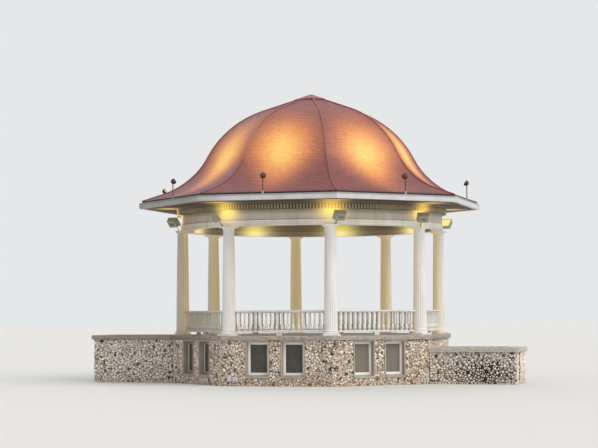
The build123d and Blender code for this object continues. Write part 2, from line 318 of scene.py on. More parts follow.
bayPlace = {"across": 0.68, "height": beamLevel + 0.12, "spread": 0.5}


def bayWash(add):
    # how near a point is to the lamp that lights the ring's inner side at the middle of a bay
    radius, angle, z = polarParts(add)
    across = add("MULTIPLY", faceParts(add, angle)[1], radius)
    return pool(add, (across, 0.0, bayPlace["across"]), (z, bayPlace["height"], bayPlace["spread"]))


def innerSide(add):
    # 1 where a surface looks at the axis, 0 where it looks away: the mask for painted lamp light on those
    # sides, and on the ring for their painted shade as well
    flat = add("VectorMath", add("TexCoord", output="Object"), (1, 1, 0), operation="MULTIPLY")
    return add("MapRange", facing(add, add("VectorMath", flat, operation="NORMALIZE")), 0.3, -0.45)


# where the painted shade over the left end lies: its way, and where it begins and is full
leftShade = {"way": (-0.95, -0.3, 0), "start": 3.1, "full": 4.3}


def shadeLeftSide(add, color, tint):
    # the colour, dulled by a tint over the octagon's left end and the planter beyond it: painted shade on
    # that side
    point = add("TexCoord", output="Object")
    reach = add("VectorMath", point, leftShade["way"], output="Value", operation="DOT_PRODUCT")
    return stained(add, color, tint, reach, leftShade["start"], leftShade["full"], 1.0, "MULTIPLY")


stoneColors = (
    (0.0, "#1A1411"), (0.02, "#1A1411"),  # the hole that a fallen stone leaves, painted near black as painted shade
    (0.03, "#988575"), (0.14, "#D6BEA6"), (0.26, "#EED9C1"), (0.38, "#CEB49E"), (0.48, "#F2E4D2"),
    (0.6, "#FBF4EA"), (0.72, "#CABEB2"), (0.84, "#FFFCF6"), (0.93, "#E2D7CA"), (1.0, "#A4988C"),
)


def stoneFinish():
    # rubble: split pieces of limestone and sandstone, dull, each its own colour, rusty near the ground, and
    # near black with painted shade in the holes of fallen stones
    material, add = newMaterial("fieldRubble", "#BFB09C", 0.92)
    tone = add("Attribute", output="Fac", attribute_name="stoneTone")
    color = add("ValToRGB", tone, stops=stoneColors)
    rust = add("MULTIPLY", blotches(add, 0.35), 0.5)
    color = stained(add, color, "#B08A62", pointParts(add)[2], 0.6, 0.0, rust)
    color = stained(add, color, "#9A8976", blotches(add, 0.03, 4), 0.4, 0.8, 0.3)
    return dress(material, color, blotches(add, 0.018, 5), 0.006)


# the place on the right wing's front where the mortar is washed out and painted shade lies, and how wide and
# high each is
washoutAndShade = {"x": wallFace + 1.75, "z": 0.38, "dark": (1.1, 0.42), "wide": (0.95, 0.36), "gap": 2.2}


def mortarFinish():
    # sunk lime mortar, with near-black blotches of painted shade where it has fallen out, and a pool of
    # painted shade where it is washed out low on the right wing's front
    material, add = newMaterial("sunkMortar", "#6A5D50", 0.95)
    # near black where it has fallen out: painted shade in the deep gaps
    stops = ((0.38, "#2A221C"), (0.47, "#6A5D50"), (0.66, "#A49584"))
    color = add("ValToRGB", blotches(add, 0.09), stops=stops)
    x, y, z = pointParts(add)
    across, rise = washoutAndShade["dark"]
    washoutShade = pool(add, (x, washoutAndShade["x"], across), (z, washoutAndShade["z"], rise))
    washoutShade = add("MULTIPLY", washoutShade, add("MapRange", x, wallFace, wallFace + 0.1))
    # near black in a pool low on the right wing's front: painted shade in the washed-out gaps
    color = stained(add, color, "#14100E", washoutShade, 0.0, 0.657, 0.92)
    return dress(material, color, blotches(add, 0.01, 4), 0.004)


def plasterFinish():
    # smooth cement render round the windows, grey-beige and a little stained
    material, add = newMaterial("smoothRender", "#BFB4A6", 0.85)
    stops = ((0.3, "#9E9182"), (0.75, "#BDB4A8"))
    color = add("ValToRGB", blotches(add, 0.25, 4, (1, 1, 0.4)), stops=stops)
    return dress(material, color, blotches(add, 0.006), 0.0015)


def copingFinish(name, dull, fair):
    # cast stone: sand and 12 mm pebbles in cement, blotched where rain has washed it, with painted shade over
    # the left end
    material, add = newMaterial(name, dull, 0.88)
    color = add("ValToRGB", blotches(add, 0.16, 5, (1, 1, 2)), stops=((0.32, dull), (0.72, fair)))
    pebbles = {"Vector": add("TexCoord", output="Object"), "Scale": 1 / 0.012}
    grit = add("SeparateColor", add("TexVoronoi", pebbles, output="Color"))
    color = stained(add, color, "#7F6F63", grit, 0.7, 1.0, 0.4)
    return dress(material, shadeLeftSide(add, color, "#CDC8C2"), blotches(add, 0.009, 4), 0.003)


def concreteFinish():
    # power-trowelled concrete with 12 mm tooled joints 1.2 m apart
    material, add = newMaterial("trowelledConcrete", "#9A968F", 0.8)
    color = add("ValToRGB", blotches(add, 0.7, 5), stops=((0.3, "#8F8A83"), (0.7, "#A7A39C")))
    near = add("MINIMUM", *(add("PINGPONG", axis, 0.6) for axis in pointParts(add)[:2]))
    color = stained(add, color, "#6F6A63", near, 0.006, 0.0)
    rough = add("MULTIPLY", blotches(add, 0.01), 0.15)
    return dress(material, color, add("ADD", add("MapRange", near, 0.0, 0.006), rough), 0.006)


lampLight = {"bay": 0.72, "wash": 0.66, "roof": 1.05}  # light given off where lamps shine, 1 is paper white


def paintFinish(name, color, grime, innerLightAndShade, glow, inner=0.0, crown=None):
    # brushed oil paint on wood and cast work: soft sheen, faint runs of grime, painted pools of lamp light
    # where lamps reach it, and painted shade over the left end inner is the painted glow that its inner sides
    # give off, those sides tinted with painted lamp light and on the ring with painted shade as well; crown
    # is the painted shade near the frieze's top
    material, add = newMaterial(name, color, 0.5)
    color = stained(add, color, grime, blotches(add, 0.22, 4, (1, 1, 0.18)), 0.45, 0.8, 0.55)
    # darker near the frieze's top: painted shade under the cornice
    if crown:
        color = stained(add, color, crown, pointParts(add)[2], friezeLevel + 0.18, corniceLevel - 0.02)
    inside = innerSide(add)
    wash = add("MULTIPLY", lampWash(add), add("SUBTRACT", 1.0, inside))
    near = add("MULTIPLY", inside, bayWash(add))
    # painted shade over the left end, and on the inner sides a tint of painted lamp light, on the ring
    # painted shade
    color = stained(add, shadeLeftSide(add, color, "#DED3C6"), innerLightAndShade, inside, most=0.85)
    color = stained(add, color, glow, add("MAXIMUM", wash, near), most=0.85)
    lit = ((inside, inner), (near, lampLight["bay"]), (wash, lampLight["wash"]))
    first, second, third = (add("MULTIPLY", share, strength) for share, strength in lit)
    light = add("ADD", add("ADD", first, second), third)
    return dress(material, color, blotches(add, 0.008, 3, (1, 1, 0.3)), 0.0012, color, light)


def soffitFinish():
    # stained boards, brown, open to the weather
    material, add = newMaterial("stainedBoards", "#6A5A49", 0.75)
    color = add("ValToRGB", blotches(add, 0.3, 5), stops=((0.3, "#4A3E34"), (0.7, "#655646")))
    wash = add("MULTIPLY", lampWash(add), bell(add, polarParts(add)[0], friezeRadius + 0.45, 0.38))
    color = stained(add, color, "#F4DC8C", wash, most=0.9)
    light = add("MULTIPLY", wash, lampLight["wash"])
    return dress(material, color, blotches(add, 0.012, 4), 0.002, "#FFDC80", light)


def gutterFinish():
    # folded sheet metal with baked enamel: smooth, semi-gloss, a grey film of dirt, darker towards its top
    # edge, and painted shade over the left end
    material, add = newMaterial("bakedEnamel", "#D6D6D4", 0.35)
    color = stained(add, "#CCCDCE", "#A29D98", blotches(add, 0.5, 4, (1, 1, 0.5)), 0.45, 0.8, 0.4)
    color = stained(add, color, "#7F7A76", pointParts(add)[2], gutterTop - 0.075, gutterTop - 0.02, 0.6)
    return dress(material, shadeLeftSide(add, color, "#BFBEB8"), blotches(add, 0.25, 2), 0.002)


roofGlow = {
    "foot": (6.4, 0.6), "shoulder": (7.8, 1.12),  # heights, and how wide the pool of light is at each
    # every second pool lies aside and lower, as its lamp does
    "aside": (-0.13, 0.12), "height": (7.9, 7.78), "spread": 1.13,
    "mottle": 0.06,
}
roofStops = (  # share of the lamp's light, the shingles' own colour and the light that they give off
    (0.0, "#86504C", "#000000"), (0.16, "#925850", "#3F2619"), (0.36, "#A46A52", "#724121"),
    (0.56, "#B07A55", "#9C5E25"), (0.78, "#B98858", "#B6813C"), (1.0, "#BC9459", "#C7A654"),
)


def roofFinish():
    # copper shingles gone mauve-brown, dull, with a warm pool on each face where its lamp shines
    material, add = newMaterial("brownedCopper", "#86504C", 0.6)
    radius, angle, z = polarParts(add)
    face, turn = faceParts(add, angle)
    second = add("PINGPONG", face, 1.0)
    aside, height = (add("MapRange", second, 0.0, 1.0, *roofGlow[key]) for key in ("aside", "height"))
    width = add("MapRange", z, *np.transpose([roofGlow["foot"], roofGlow["shoulder"]]).ravel())
    across = add("MULTIPLY", add("SINE", turn), radius)
    lit = pool(add, (across, aside, width), (z, height, roofGlow["spread"]))
    mottle = roofGlow["mottle"]
    lit = add("ADD", lit, add("MapRange", blotches(add, 0.5), 0.0, 1.0, -mottle, mottle))
    weather = blotches(add, 0.16, 5, (1, 1, 3))
    color, light = (
        stained(add, add("ValToRGB", lit, stops=stops), tint, weather, 0.35, 0.75, 0.3, "MULTIPLY")
        for stops, tint in (
            ([(share, own) for share, own, shine in roofStops], "#7C4E4B"),
            ([(share, shine) for share, own, shine in roofStops], "#B09A90"),
        )
    )
    color = stained(add, color, "#44292A", z, gutterTop + 0.12, gutterTop + 0.07, 0.8)
    return dress(material, color, blotches(add, 0.05, 4), 0.004, light, lampLight["roof"])


facingLimits = (0.6, 0.92)  # how far a surface looks some way where its painted shade or sheen begins and where it is full


def plainFinish(name, color, mottle, roughness=0.5, metallic=0.0, shadeWay=None):
    # one colour with faint 50 mm blotches, and a painted brown shade on the side that looks the given way
    material, add = newMaterial(name, color, roughness, metallic)
    color = stained(add, color, mottle, blotches(add, 0.05, 4), 0.4, 0.8, 0.25)
    if shadeWay:
        color = stained(add, color, "#8C7C6A", facing(add, shadeWay), *facingLimits)
    return dress(material, color, blotches(add, 0.01), 0.0008)


def screenFinish():
    # woven insect screen, the threads drawn 4 mm apart so that they show, paler where it looks right: a
    # painted sheen of light
    material, add = newMaterial("wovenScreen", "#514D4A", 0.7)
    radius, angle, z = polarParts(add)
    wave = 2 * math.pi / 0.008
    threads = (add("SINE", add("MULTIPLY", *pair)) for pair in ((angle, wallFace * wave), (z, wave)))
    color = add("ValToRGB", blotches(add, 0.4), stops=((0.3, "#464240"), (0.7, "#5A5550")))
    # paler where it looks right: painted sheen
    color = stained(add, color, "#7C746B", facing(add, (0.91, -0.42, 0)), *facingLimits)
    return dress(material, color, add("MULTIPLY", *threads), 0.001)


def glassFinish():
    # ribbed lamp glass, lit from behind
    material, add = newMaterial("litGlass", "#FFE49A", 0.2)
    pattern = {"Vector": add("TexCoord", output="Object"), "Scale": 60.0}
    ribs = add("TexVoronoi", pattern, output="Distance")
    color = add("ValToRGB", ribs, stops=((0.0, "#FFF0BE"), (0.8, "#FFD978")))
    return dress(material, color, ribs, 0.002, "#FFE9A0", 0.6)


finish = {
    "stone": stoneFinish(),
    "mortar": mortarFinish(),
    "plaster": plasterFinish(),
    "coping": copingFinish("castStone", "#978A7E", "#BFB5AB"),
    "paleCoping": copingFinish("paleCastStone", "#AFA59B", "#D3CBC3"),
    "concrete": concreteFinish(),
    "paint": paintFinish("brushedOilPaint", "#E6E4E2", "#CBC5BC", "#D4BC84", "#FBE6A4", 0.33),
    "rail": paintFinish("brushedRailPaint", "#DEDBD5", "#BDB6AA", "#D4CAB8", "#FBE6A4", 0.03),
    # the tint of the inner sides of beam, frieze and dentils is painted shade with lamp warmth; the frieze's
    # last colour is painted shade under the cornice
    "beam": paintFinish("creamOilPaint", "#EEE8DE", "#C8BEB1", "#92805A", "#FFEBA2", 0.1),
    "frieze": paintFinish("dullOilPaint", "#D4C9BA", "#B2A595", "#8C7850", "#FFE878", 0.05, "#95866F"),
    "dentil": paintFinish("chalkyOilPaint", "#A89A82", "#86796B", "#8C7850", "#FFDC5E", 0.05),
    "bed": paintFinish("brownBedPaint", "#6E5C4A", "#564739", "#8F7546", "#FFDF6A"),
    # the near-black wall behind the teeth: painted shade between them
    "shade": paintFinish("dentilShadePaint", "#3C3128", "#2C241D", "#8F7546", "#F0CE70"),
    "soffit": soffitFinish(),
    "gutter": gutterFinish(),
    "roof": roofFinish(),
    "roofEdge": plainFinish("darkRoofLip", "#32211F", "#1E1413", 0.7),
    # window frames: painted brown shade on the sides that look left
    "window": plainFinish("glossPaint", "#F4F2ED", "#CFC9BE", 0.35, shadeWay=(-0.85, -0.5, 0)),
    "screen": screenFinish(),
    "lamp": plainFinish("powderCoat", "#A8A698", "#7C7A6E"),
    "lampDark": plainFinish("darkEnamel", "#4A2A26", "#2C1715"),
    "steel": plainFinish("galvanisedSteel", "#6B6C6E", "#4A4A4B", 0.45, 0.6),
    "glass": glassFinish(),
    "plastic": plainFinish("agedPolycarbonate", "#CFC3C6", "#A3979A", 0.45),
}
print("materials ready:", len(finish))


# Pieces

def makePiece(name, layers, node=None, sharp=35.0, marks=None):
    # layers are (shape, finish); a face's fourth number is -1 where it is a triangle
    points, faces = joined([shape for shape, key in layers])
    keys = list(dict.fromkeys(key for shape, key in layers))
    sizes = (faces >= 0).sum(1)
    corners = faces[faces >= 0]
    mesh = bpy.data.meshes.new(name)
    for group, count, key, values in (
        (mesh.vertices, len(points), "co", points.astype(np.float32).ravel()),
        (mesh.loops, len(corners), "vertex_index", corners.astype(np.int32)),
        (mesh.polygons, len(faces), "loop_start", (np.cumsum(sizes) - sizes).astype(np.int32)),
    ):
        group.add(count)
        group.foreach_set(key, values)
    index = np.concatenate([np.full(len(shape[1]), keys.index(key)) for shape, key in layers])
    mesh.polygons.foreach_set("material_index", index.astype(np.int32))
    mesh.update(calc_edges=True)
    for key, values in (marks or {}).items():
        mesh.attributes.new(key, "FLOAT", "POINT").data.foreach_set("value", values.astype(np.float32))
    mesh.shade_smooth()
    mesh.set_sharp_from_angle(angle=math.radians(sharp))
    for key in keys:
        mesh.materials.append(finish[key])
    piece = bpy.data.objects.new(name, mesh)
    bpy.context.scene.collection.objects.link(piece)
    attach(piece, "root")
    if node:
        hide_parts(node)


# Rubble

rubble = {
    "pitch": 0.078,  # from one stone's middle to the next
    "jitter": 0.5,  # of the pitch
    "missing": 0.12,  # share of places left to the neighbours, which makes larger stones
    "uneven": 0.3,  # how far sizes differ, as a share of the pitch squared
    "gap": 0.008,  # mortar between two stones
    "fallen": 0.06,  # share of stones that are gone, each leaving a hole
    "hole": 0.027,  # depth of its bottom
    "corners": 8,
    "neighbours": 16,  # the ones that a stone is fitted to
    "crown": 0.014,  # how far a stone's face lies back at most
    "lean": 0.2,  # slope of its face at most
    "rough": (-0.006, 0.001),  # how far the points of its face stray from that
    "skew": 0.22,  # how far its corners turn, in radians
    "sunk": 0.032,  # mortar behind the wall's face
    "foot": -0.044,  # where a stone's sides end
    # rings of a stone from foot to middle: share of its reach, drop below its crown, and 1 where it leans
    "rings": ((1.0, 0.0, 0), (0.93, 0.012, 1), (0.62, 0.002, 1), (0.0, -0.001, 0)),
    "rounding": 0.05,  # radius of a wall's outer corner
}


def pathPlace(corners, closed, along):
    # the point and outward direction at a length along straight runs, each corner cut by a small curve:
    # (1-e)^2 a + 2e(1-e) corner + e^2 b from a point before the corner to a point after it
    corners = np.array(corners, float)
    run = (np.roll(corners, -1, 0) - corners)[:len(corners) if closed else -1]
    length = np.linalg.norm(run, axis=1)
    way = run / length[:, None]
    normal = np.stack([way[:, 1], -way[:, 0]], -1)
    ends = np.cumsum(length)
    if closed:
        along = np.mod(along, ends[-1])
    k = np.clip(np.searchsorted(ends, along, side="right"), 0, len(length) - 1)
    t = along - (ends[k] - length[k])
    after, before = (k + 1) % len(length), (k - 1) % len(length)
    point = corners[k] + way[k] * t[..., None]
    out = normal[k]
    r = rubble["rounding"]
    for near, first, second, e in (
        ((length[k] - t < r) & (closed | (k < len(length) - 1)), k, after, (r - length[k] + t) / (2 * r)),
        ((t < r) & (closed | (k > 0)), before, k, (t + r) / (2 * r)),
    ):
        corner, e = corners[second], e[..., None]
        start, end = corner - way[first] * r, corner + way[second] * r
        bent = (1 - e) ** 2 * start + 2 * e * (1 - e) * corner + e ** 2 * end
        point = np.where(near[..., None], bent, point)
        out = np.where(near[..., None], (1 - e) * normal[first] + e * normal[second], out)
    return point, out / np.linalg.norm(out, axis=-1, keepdims=True)


def stoneSites(rng, length, closed, top, openings):
    # places in rows, moved at random and some left out, as lengths along the path and heights: n x 2
    pitch = rubble["pitch"]
    jitter = pitch * rubble["jitter"]
    rows, cols = round(top / (pitch * 0.9)), round(length / pitch)
    j, i = np.meshgrid(np.arange(cols), np.arange(rows))
    u = (j + 0.5 * (i % 2) + 0.25) / cols * length + rng.uniform(-1, 1, j.shape) * jitter
    z = (i + 0.5) / rows * top + rng.uniform(-1, 1, j.shape) * jitter * 0.8
    site = np.stack([u.ravel(), z.ravel()], -1)
    site = site[rng.random(len(site)) > rubble["missing"]]
    site[:, 1] = np.clip(site[:, 1], 0.015, top - 0.015)
    if not closed:
        site = site[(site[:, 0] > 0.02) & (site[:, 0] < length - 0.02)]
    for u0, u1, z0, z1 in openings:
        low, high = np.array([u0, z0]) - 0.012, np.array([u1, z1]) + 0.012
        site = site[~((site > low) & (site < high)).all(1)]
    return site


def reachTo(distance, facing):
    # how far a ray runs to a line at a distance: distance / cos(angle to it), or 9 m where it turns away
    return np.where(facing > 0.05, distance / np.maximum(facing, 0.05), 9.0)


def stoneReach(site, weight, way, half, length, closed, top, openings):
    # how far each stone reaches each way, stones x corners: to the nearest of the lines between it and its
    # neighbours, the wall's edges and the openings, less half a gap
    others, otherWeight = site, weight
    if closed:
        others = np.concatenate([site, site + [length, 0], site - [length, 0]])
        otherWeight = np.tile(weight, 3)
    reach = np.full(way.shape[:2], rubble["pitch"] * 1.1)
    for start in range(0, len(site), 400):
        part = slice(start, start + 400)
        d = others[None] - site[part, None]
        square = (d ** 2).sum(-1)
        near = np.argpartition(square, rubble["neighbours"], axis=1)[:, :rubble["neighbours"]]
        d, square = np.take_along_axis(d, near[..., None], 1), np.take_along_axis(square, near, 1)
        span = np.sqrt(np.maximum(square, 1e-9))
        line = (square + weight[part, None] - otherWeight[near]) / (2 * span) - half[part, None]
        facing = np.einsum("nmc,nkc->nkm", d / span[..., None], way[part])
        hit = reachTo(line[:, None], np.where(span[:, None] > 1e-4, facing, 0))
        reach[part] = np.minimum(reach[part], hit.min(-1))
    edges = [((0, -1), site[:, 1]), ((0, 1), top - site[:, 1])]
    if not closed:
        edges += [((-1, 0), site[:, 0]), ((1, 0), length - site[:, 0])]
    for direction, distance in edges:
        reach = np.minimum(reach, reachTo((distance - half * 0.5)[:, None], way @ np.array(direction, float)))
    for u0, u1, z0, z1 in openings:
        for shift in ((-length, 0, length) if closed else (0,)):
            nearest = np.clip(site, [u0 + shift, z0], [u1 + shift, z1]) - site
            span = np.linalg.norm(nearest, axis=1, keepdims=True)
            facing = np.einsum("nc,nkc->nk", nearest / np.maximum(span, 1e-6), way)
            reach = np.minimum(reach, reachTo(np.maximum(span - half[:, None], 0.004), facing))
    return np.clip(reach, 0.006, None)


def stoneBed(corners, closed, top, openings, seed, wide=lambda u, z: 0 * u):
    # the stones of a wall along a path: sites, points (stones x points x 3), one stone's faces, and tones
    rng = np.random.default_rng(seed)
    legs = np.array(corners, float)
    run = np.linalg.norm(np.roll(legs, -1, 0) - legs, axis=1)
    bed = (run.sum() if closed else run[:-1].sum(), closed, top, openings)
    site = stoneSites(rng, *bed)
    n, count = len(site), rubble["corners"]
    weight = rng.uniform(-1, 1, n) * rubble["pitch"] ** 2 * rubble["uneven"]
    angle = rng.uniform(0, 2 * math.pi, n)[:, None] + np.arange(count) / count * 2 * math.pi
    angle = angle + rng.uniform(-rubble["skew"], rubble["skew"], (n, count))
    way = np.stack([np.cos(angle), np.sin(angle)], -1)
    half = rubble["gap"] / 2 * (1 + wide(site[:, 0], site[:, 1]))
    reach = stoneReach(site, weight, way, half, *bed)
    fallen = rng.random(n) < rubble["fallen"]
    crown = np.where(fallen, -rubble["hole"], rng.uniform(-rubble["crown"], 0.0, n))[:, None]
    reach = np.where(fallen[:, None], reach * 0.75, reach)
    lean = rng.uniform(-rubble["lean"], rubble["lean"], (n, 1, 2))
    rings = []
    for share, drop, tilt in rubble["rings"]:
        offset = way * (reach * share)[..., None]
        slope = (offset * lean).sum(-1) * tilt
        rough = rng.uniform(*rubble["rough"], reach.shape) * tilt
        height = crown - drop + slope + rough if share < 1 else np.full(reach.shape, rubble["foot"])
        rings.append(np.concatenate([site[:, None] + offset, np.minimum(height, 0)[..., None]], -1))
    flat = np.concatenate([np.stack(rings[:3], 1).reshape(n, -1, 3), rings[3][:, :1]], 1)
    point, out = pathPlace(corners, closed, flat[..., 0])
    points = np.concatenate([point + out * flat[..., 2:], flat[..., 1:2]], -1)
    sides = gridShape(np.zeros((3, count, 3)), wrapCols=True)
    faces = tipped(sides, np.arange(count) + 2 * count, (0, 0, 0), True)[1]
    # a fallen stone's hole gets tone 0, which the rubble finish paints near black: painted shade
    return site, points, faces, np.where(fallen, 0.0, 0.035 + 0.965 * rng.random(n))


def repeated(points, faces):
    # copies of one shape, n x points x 3, as one surface
    n, each = points.shape[:2]
    shifted = faces[None] + (np.arange(n) * each)[:, None, None]
    return points.reshape(-1, 3), np.where(faces[None] < 0, -1, shifted).reshape(-1, 4)


def makeRubble(name, node, points, faces, tone, rest):
    # stones, each with its own tone, over the layers of the wall behind them
    layers = [(repeated(points, faces), "stone")] + rest
    behind = sum(len(shape[0]) for shape, key in rest)
    tones = np.concatenate([np.repeat(tone, points.shape[1]), np.full(behind, 0.5)])
    makePiece(name, layers, node, 30, {"stoneTone": tones})


def cellWall(across, upward, holes, faceDistance, backDistance):
    # a wall of cells between the across and upward lines, open where holes says, looking along +X
    cols, rows = len(across), len(upward)
    y, z = np.meshgrid(across, upward)
    scale = np.where(np.isin(np.arange(cols), (0, cols - 1)), backDistance / faceDistance, 1.0)
    front = np.stack([np.full(y.shape, faceDistance), y, z], -1).reshape(-1, 3)
    back = np.stack([np.full(y.shape, backDistance), y * scale, z], -1).reshape(-1, 3)
    solid = np.ones((rows - 1, cols - 1), bool)
    for cell in holes:
        solid[cell] = False
    padded = np.pad(solid, 1)
    i, j = np.nonzero(solid)
    shift = rows * cols
    faces = [np.stack([(i + r) * cols + j + c for r, c in ((0, 0), (0, 1), (1, 1), (1, 0))], -1)]
    faces.append(faces[0][:, ::-1] + shift)
    # each bare side of a cell: the way to it, and its two corners
    for down, aside, first, second in (
        (-1, 0, (0, 0), (0, 1)), (1, 0, (1, 1), (1, 0)), (0, -1, (1, 0), (0, 0)), (0, 1, (0, 1), (1, 1)),
    ):
        bare = ~padded[i + 1 + down, j + 1 + aside]
        p, q = ((i[bare] + r) * cols + j[bare] + c for r, c in (first, second))
        faces.append(np.stack([q, p, p + shift, q + shift], -1))
    return np.concatenate([front, back]), np.concatenate(faces)


podium = {
    "pierced": (1, 2, 3, 5, 6, 7),  # the walls with windows: a wing stands against each of the other two
    "windowSpacing": 1.21,
    "windowShift": 0.07,
    "windowWidth": 0.73,
    "sill": 0.29,
    "head": 1.44,
    "wallThickness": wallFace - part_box("ground_floor")[1].x,
    "lining": 0.045,  # width of the smooth border on the wall's face
    "liningBack": 0.12,  # wall left bare behind it
    "bedding": 0.02,  # how much further the wall's opening reaches on each side, behind the lining
    "hidden": (0.05, 0.36),  # stones behind a wing's wall are left out, from here to here in from its face
}


def windowPlaces():
    # the middle of each window of a wall, from the wall's middle
    return [sign * podium["windowSpacing"] / 2 - podium["windowShift"] for sign in (-1, 1)]


def makePodium():
    slope = math.tan(halfTurn)
    side = 2 * wallFace * slope
    w, edge, bed = podium["windowWidth"] / 2, podium["lining"], podium["bedding"]
    low, high = podium["sill"], podium["head"]
    openings = []
    for k in podium["pierced"]:
        for middle in windowPlaces():
            at = (k + 0.5) * side + middle
            openings.append((at - w - edge, at + w + edge, low - edge, wallTop))
    site, points, faces, tone = stoneBed(octagonCorners(wallFace), True, wallTop, openings, 11)
    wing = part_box("right_wing_walls")
    x, y, z = np.moveaxis(points[:, -1], -1, 0)
    near, far = podium["hidden"]
    covered = (y > wing[0].y + near) & (y < wing[0].y + far) | (y > wing[1].y - far) & (y < wing[1].y - near)
    covered &= (np.abs(x) > wallFace - 0.1) & (z < wing[1].z - near)
    wall = np.floor(np.mod(site[:, 0], 8 * side) / side).astype(int)
    sunkFace, back = wallFace - rubble["sunk"], wallFace - podium["wallThickness"]
    half = sunkFace * slope
    across = [-half] + [at + turn * (w + bed) for at in windowPlaces() for turn in (-1, 1)] + [half]
    core = cellWall(across, [0.0, low - bed, high + bed, wallTop], [(1, 1), (1, 3)], sunkFace, back)
    plain = cellWall([-half, half], [0.0, wallTop], [], sunkFace, back)
    lining = []
    for middle in windowPlaces():
        rings = []
        for grow, x in (
            (edge, sunkFace - 0.01), (edge, wallFace), (0.004, wallFace), (0.0, wallFace - 0.004),
            (0.0, back + podium["liningBack"]),
        ):
            top = high + grow * 2 if grow < edge else wallTop
            corners = ((-1, low - grow), (1, low - grow), (1, top), (-1, top))
            rings.append([(x, middle + turn * (w + grow), z) for turn, z in corners])
        lining.append(gridShape(np.array(rings), wrapCols=True))
    for k in range(8):
        pierced = k in podium["pierced"]
        rest = [(moved(core if pierced else plain, 45 * k), "mortar")]
        rest += [(moved(shape, 45 * k), "plaster") for shape in lining if pierced]
        chosen = (wall == k) & ~covered
        makeRubble(f"rubbleWall_{k + 1}", f"podium_wall_{k + 1}", points[chosen], faces, tone[chosen], rest)
    print("podium walls:", len(site), "stones")


# Windows

windows = {
    "setback": 0.17, "sillBack": 0.065,
    # (inward, outward) outlines of the frame and of the screen's bar
    "frame": [
        (0.0, -0.07), (0.0, -0.003), (0.003, 0.0), (0.058, 0.0), (0.064, -0.005), (0.066, -0.014),
        (0.078, -0.018), (0.078, -0.07),
    ],
    "sash": [
        (0.078, -0.045), (0.078, -0.026), (0.081, -0.024), (0.094, -0.024), (0.096, -0.027), (0.096, -0.045),
    ],
}


def rectangleRing(profile, halfWidth, low, high):
    # an outline of (inward, outward from the wall) pairs carried round a rectangle, mitred at its corners
    rows = []
    for inward, x in profile:
        w, b, t = halfWidth - inward, low + inward, high - inward
        rows.append([(x, -w, b), (x, w, b), (x, w, t), (x, -w, t)])
    return gridShape(np.array(rows), wrapRows=True, wrapCols=True)


def makeWindows():
    low, high = podium["sill"] + windows["sillBack"], podium["head"]
    shapes = [
        (rectangleRing(windows[part], podium["windowWidth"] / 2, low, high), key)
        for part, key in (("frame", "window"), ("sash", "steel"))
    ]
    layers = []
    for k in podium["pierced"]:
        for across in windowPlaces():
            at = (wallFace - windows["setback"], across, 0)
            layers += [(moved(shape, 45 * k, at), key) for shape, key in shapes]
    makePiece("windowFrames", layers, "window_frames")
    print("windows:", 2 * len(podium["pierced"]))


# Copings

coping = {
    "joint": 0.006, "pitch": 0.95,
    "nose": 0.02,  # radius of its upper edge
    # (outward, up) steps from the lower outer edge: a drip groove and a cove below the nose
    "foot": [
        (-0.03, 0), (-0.028, 0.006), (-0.018, 0.006), (-0.012, 0), (-0.004, 0.006), (-0.004, 0.05),
        (0, 0.058),
    ],
}


def copingProfile(inner, low, high):
    # a plain slab with a rounded nose above and a small drip groove below
    r = coping["nose"]
    nose = arcPoints(-r, high - r, r, 0, math.pi / 2, 4)
    return [(inner, low)] + fromPoint(0, low, coping["foot"]) + nose + [(inner, high)]


def jointedPath(corners, closed):
    # stations along a path with three close together at each joint, the middle one drawn in
    corners = [np.array(c, float) for c in corners]
    stations, insets = [], []
    for a, b in zip(corners, corners[1:] + corners[:closed]):
        length = np.linalg.norm(b - a)
        count = max(1, round(length / coping["pitch"]))
        stations.append(a)
        insets.append(0.0)
        for i in range(1, count):
            for shift, inset in ((-1, 0.0), (0, coping["joint"]), (1, 0.0)):
                stations.append(a + (b - a) * (i / count + shift * coping["joint"] / length))
                insets.append(inset)
    return (stations, insets) if closed else (stations + corners[-1:], insets + [0.0])


def mirrored(path, sign):
    # the path as it is on the right, or mirrored to the left and walked backwards
    return path if sign > 0 else [(-x, y) for x, y in path[::-1]]


def makeCopings():
    low, high = (corner.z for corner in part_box("podium_coping"))
    stations, insets = jointedPath(octagonCorners(copingFace), True)
    profile = copingProfile(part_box("deck_floor")[1].x - copingFace, low, high)
    shape = carriedShape(profile, stations, True, insets)
    makePiece("podiumCoping", [(shape, "coping")], "podium_coping")
    for side, sign in (("right", 1), ("left", -1)):
        box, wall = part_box(f"{side}_wing_coping"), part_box(f"{side}_wing_walls")
        begin = wallFace if sign > 0 else copingFace
        end = max(abs(box[0].x), abs(box[1].x))
        path = mirrored([(begin, box[0].y), (end, box[0].y), (end, box[1].y), (begin, box[1].y)], sign)
        stations, insets = jointedPath(path, False)
        profile = copingProfile(box[0].y - wall[0].y - wings["thickness"], box[0].z, box[1].z)
        shape = carriedShape(profile, stations, False, insets)
        makePiece(f"{side}WingCoping", [(shape, "paleCoping")], f"{side}_wing_coping")
    print("copings with joints every", coping["pitch"], "m")


# Wings

wings = {"thickness": 0.4, "joint": 0.24, "jointDepth": 0.11, "jointFromFront": 0.69, "paler": 0.42}


